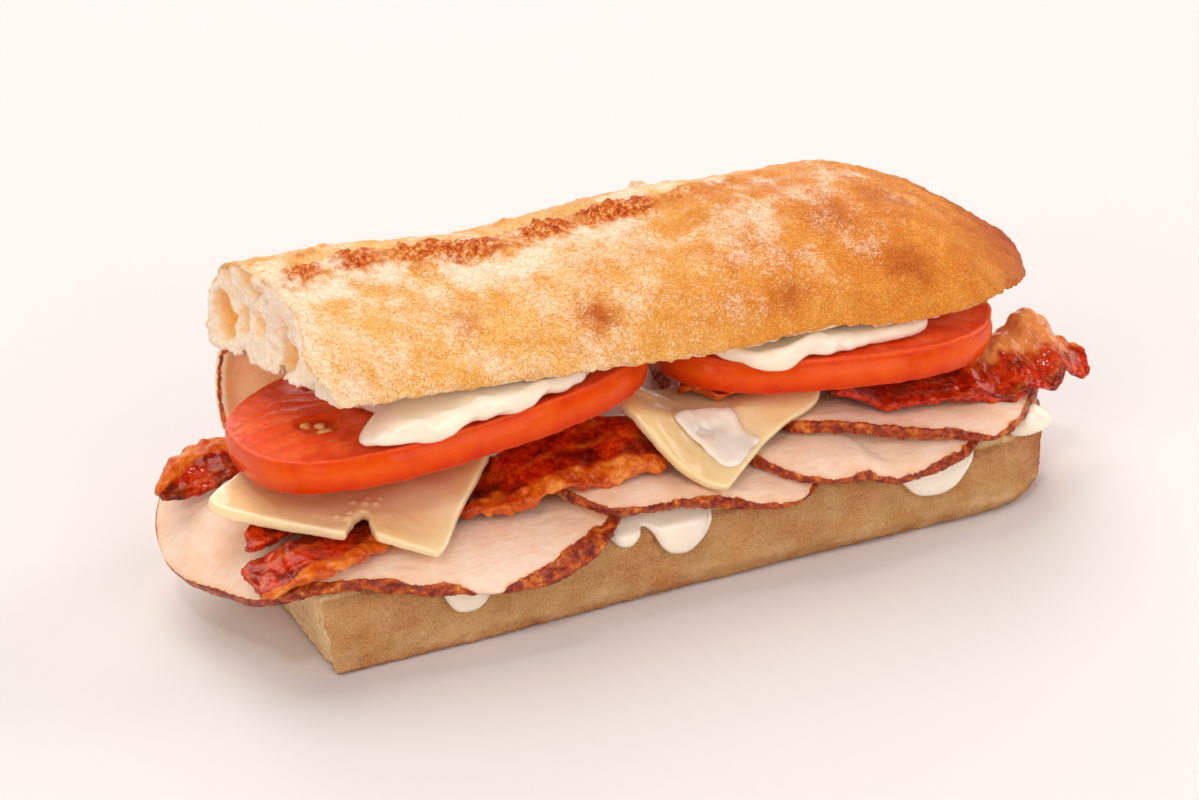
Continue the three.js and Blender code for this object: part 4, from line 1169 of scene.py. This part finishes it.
def build_stage(settings):
    """A pale floor, soft studio light and the camera."""
    mesh = bpy.data.meshes.new("floor")
    corners = [(x * FLOOR_REACH, y * FLOOR_REACH, 0) for x, y in ((-1, -1), (1, -1), (1, 1), (-1, 1))]
    mesh.from_pydata(corners, [], [(0, 1, 2, 3)])
    floor = new_piece("floor", mesh)
    material, tree, shader = new_material("pale_paper")
    place = add(tree, "ShaderNodeTexCoord", out="Object")
    cloud = add(tree, "ShaderNodeTexNoise", {"Vector": place, "Scale": per_mm(300)})
    colour = add(tree, "ShaderNodeValToRGB", {"Fac": cloud}, stops=[(0.3, "E2DCDB"), (0.7, "E4DEDD")])
    set_shader(tree, shader, {"Base Color": colour, "Roughness": 0.75, "Specular IOR Level": 0.2})
    mesh.materials.append(material)

    world = bpy.data.worlds.new("studio")
    bpy.context.scene.world = world
    world.use_nodes = True
    backdrop = world.node_tree.nodes["Background"]
    backdrop.inputs["Color"].default_value = linear("FFFAF6")
    backdrop.inputs["Strength"].default_value = settings.fill

    for name, (turn, height, spread, strength) in LIGHTS.items():
        lamp = bpy.data.lights.new(name, "SUN")
        lamp.energy, lamp.angle = settings.light * strength, math.radians(spread)
        lamp.color = linear("FFFBF7")[:3]
        light = bpy.data.objects.new(name, lamp)
        light.rotation_euler = (math.radians(90 - height), 0, math.radians(turn + 90))
        bpy.context.collection.objects.link(light)

    lens = bpy.data.cameras.new("camera")
    lens.lens = settings.lens
    lens.sensor_width = 36
    lens.clip_start = 0.01
    camera = bpy.data.objects.new("camera", lens)
    camera.location = settings.camera_place
    camera.rotation_euler = (math.pi / 2 - settings.elevation, 0, settings.azimuth)
    bpy.context.collection.objects.link(camera)
    bpy.context.scene.camera = camera
    bpy.context.scene.view_settings.view_transform = "Standard"


# The add-on


def colour_property(name, description, hex_colour):
    """A colour that a user can change."""
    return bpy.props.FloatVectorProperty(
        name=name, description=description, subtype="COLOR", size=4, min=0, max=1,
        default=linear(hex_colour),
    )


class BreadSettings(bpy.types.PropertyGroup):
    """Sizes and colours of the bread's surface."""

    grain: bpy.props.FloatProperty(
        name="Mesh grain", description="Spacing of the bread's points", default=0.48 * MM, unit="LENGTH"
    )
    ridge: bpy.props.FloatProperty(
        name="Lip height", description="Height of the blistered lip", default=1.8 * MM, unit="LENGTH"
    )
    score: bpy.props.FloatProperty(
        name="Score depth", description="Depth of the torn valley", default=1.7 * MM, unit="LENGTH"
    )
    lid_flour: colour_property("Lid flour", "Flour baked onto the lid", "FBE6CC")
    heel_flour: colour_property("Heel flour", "Flour on the side of the heel", "E2C090")


class FillingSettings(bpy.types.PropertyGroup):
    """Sizes and colours of the fillings' surfaces."""

    rim: bpy.props.FloatProperty(
        name="Browned rim", description="Scale of the turkey's browned rim", default=1 * MM, unit="LENGTH"
    )
    smear: bpy.props.FloatProperty(
        name="Sauce", description="Thickness of the sauce on the cheese", default=1.1 * MM, unit="LENGTH"
    )
    turkey_grain: colour_property("Turkey grain", "The meat where its grain shows", "E9AE88")
    pale_fat: colour_property("Pale fat", "Bacon fat where it curls up", "F2BE7C")
    # A painted highlight along the cheese's edges
    cheese_rim_highlight: colour_property("Cheese rim", "The cut edge of the cheese", "FDE0B0")
    tomato_wall: colour_property("Tomato wall", "The flesh just inside the skin", "D83A0C")


class StageSettings(bpy.types.PropertyGroup):
    """Camera and light."""

    camera_place: bpy.props.FloatVectorProperty(
        name="Camera place", description="Where the camera stands", subtype="TRANSLATION",
        default=(-0.214943, -0.422683, 0.250555),
    )
    azimuth: bpy.props.FloatProperty(
        name="Azimuth", description="Turn of the camera about the sandwich", subtype="ANGLE",
        default=math.radians(-26.2),
    )
    elevation: bpy.props.FloatProperty(
        name="Elevation", description="Downward tilt of the camera", subtype="ANGLE",
        default=math.radians(25.3),
    )
    lens: bpy.props.FloatProperty(name="Lens", description="Focal length in millimetres", default=85.57)
    fill: bpy.props.FloatProperty(name="Fill", description="Light from all around", default=0.1)
    light: bpy.props.FloatProperty(name="Light", description="Strength of the soft lights", default=1.0)


class SandwichSettings(bpy.types.PropertyGroup):
    """All settings of the sandwich."""

    bread: bpy.props.PointerProperty(name="Bread", description="The two bread halves", type=BreadSettings)
    filling: bpy.props.PointerProperty(name="Filling", description="The fillings", type=FillingSettings)
    stage: bpy.props.PointerProperty(name="Stage", description="Camera and light", type=StageSettings)


class SANDWICH_OT_bread(bpy.types.Operator):
    """Builds the lid and the heel of the baguette"""

    bl_idname = "sandwich.bread"
    bl_label = "Bread"

    def execute(self, context):
        settings = context.scene.sandwich.bread
        build_lid(settings, baked_crust(settings))
        build_heel(settings, floured_crust(settings))
        return {"FINISHED"}


class SANDWICH_OT_turkey(bpy.types.Operator):
    """Builds the turkey slices"""

    bl_idname = "sandwich.turkey"
    bl_label = "Turkey"

    def execute(self, context):
        settings = context.scene.sandwich.filling
        build_turkey(settings, roast_turkey(settings))
        return {"FINISHED"}


class SANDWICH_OT_bacon(bpy.types.Operator):
    """Builds the bacon rashers"""

    bl_idname = "sandwich.bacon"
    bl_label = "Bacon"

    def execute(self, context):
        build_bacon(fried_bacon(context.scene.sandwich.filling))
        return {"FINISHED"}


class SANDWICH_OT_cheese(bpy.types.Operator):
    """Builds the cheese slices and the sauce on them"""

    bl_idname = "sandwich.cheese"
    bl_label = "Cheese"

    def execute(self, context):
        settings = context.scene.sandwich.filling
        build_cheese(settings, young_cheese(settings), egg_mayonnaise())
        return {"FINISHED"}


class SANDWICH_OT_tomato(bpy.types.Operator):
    """Builds the tomato slices and their seeds"""

    bl_idname = "sandwich.tomato"
    bl_label = "Tomato"

    def execute(self, context):
        build_tomato(sliced_tomato(context.scene.sandwich.filling), tomato_seed())
        return {"FINISHED"}


class SANDWICH_OT_mayonnaise(bpy.types.Operator):
    """Builds the mayonnaise"""

    bl_idname = "sandwich.mayonnaise"
    bl_label = "Mayonnaise"

    def execute(self, context):
        build_mayonnaise(egg_mayonnaise())
        return {"FINISHED"}


class SANDWICH_OT_stage(bpy.types.Operator):
    """Builds the floor, the lights and the camera"""

    bl_idname = "sandwich.stage"
    bl_label = "Stage"

    def execute(self, context):
        build_stage(context.scene.sandwich.stage)
        return {"FINISHED"}


OPERATORS = (
    SANDWICH_OT_bread,
    SANDWICH_OT_turkey,
    SANDWICH_OT_bacon,
    SANDWICH_OT_cheese,
    SANDWICH_OT_tomato,
    SANDWICH_OT_mayonnaise,
    SANDWICH_OT_stage,
)


class SANDWICH_PT_panel(bpy.types.Panel):
    """Lists the sandwich's pieces in the sidebar"""

    bl_idname = "SANDWICH_PT_panel"
    bl_label = "Club Sandwich"
    bl_space_type = "VIEW_3D"
    bl_region_type = "UI"
    bl_category = "Sandwich"

    def draw(self, context):
        settings = context.scene.sandwich
        for group in (settings.bread, settings.filling, settings.stage):
            box = self.layout.box()
            for name in group.bl_rna.properties.keys():
                if name not in ("rna_type", "name"):
                    box.prop(group, name)
        for operator in OPERATORS:
            self.layout.operator(operator.bl_idname)


CLASSES = (BreadSettings, FillingSettings, StageSettings, SandwichSettings, *OPERATORS, SANDWICH_PT_panel)


def register():
    """Registers the add-on's classes and its settings."""
    for cls in CLASSES:
        bpy.utils.register_class(cls)
    bpy.types.Scene.sandwich = bpy.props.PointerProperty(type=SandwichSettings)


def unregister():
    """Removes the add-on's classes and its settings."""
    del bpy.types.Scene.sandwich
    for cls in reversed(CLASSES):
        bpy.utils.unregister_class(cls)


def main():
    """Builds the whole sandwich."""
    register()
    bpy.ops.sandwich.bread()
    bpy.ops.sandwich.turkey()
    bpy.ops.sandwich.bacon()
    bpy.ops.sandwich.cheese()
    bpy.ops.sandwich.tomato()
    bpy.ops.sandwich.mayonnaise()
    bpy.ops.sandwich.stage()


if __name__ == "__main__":
    main()
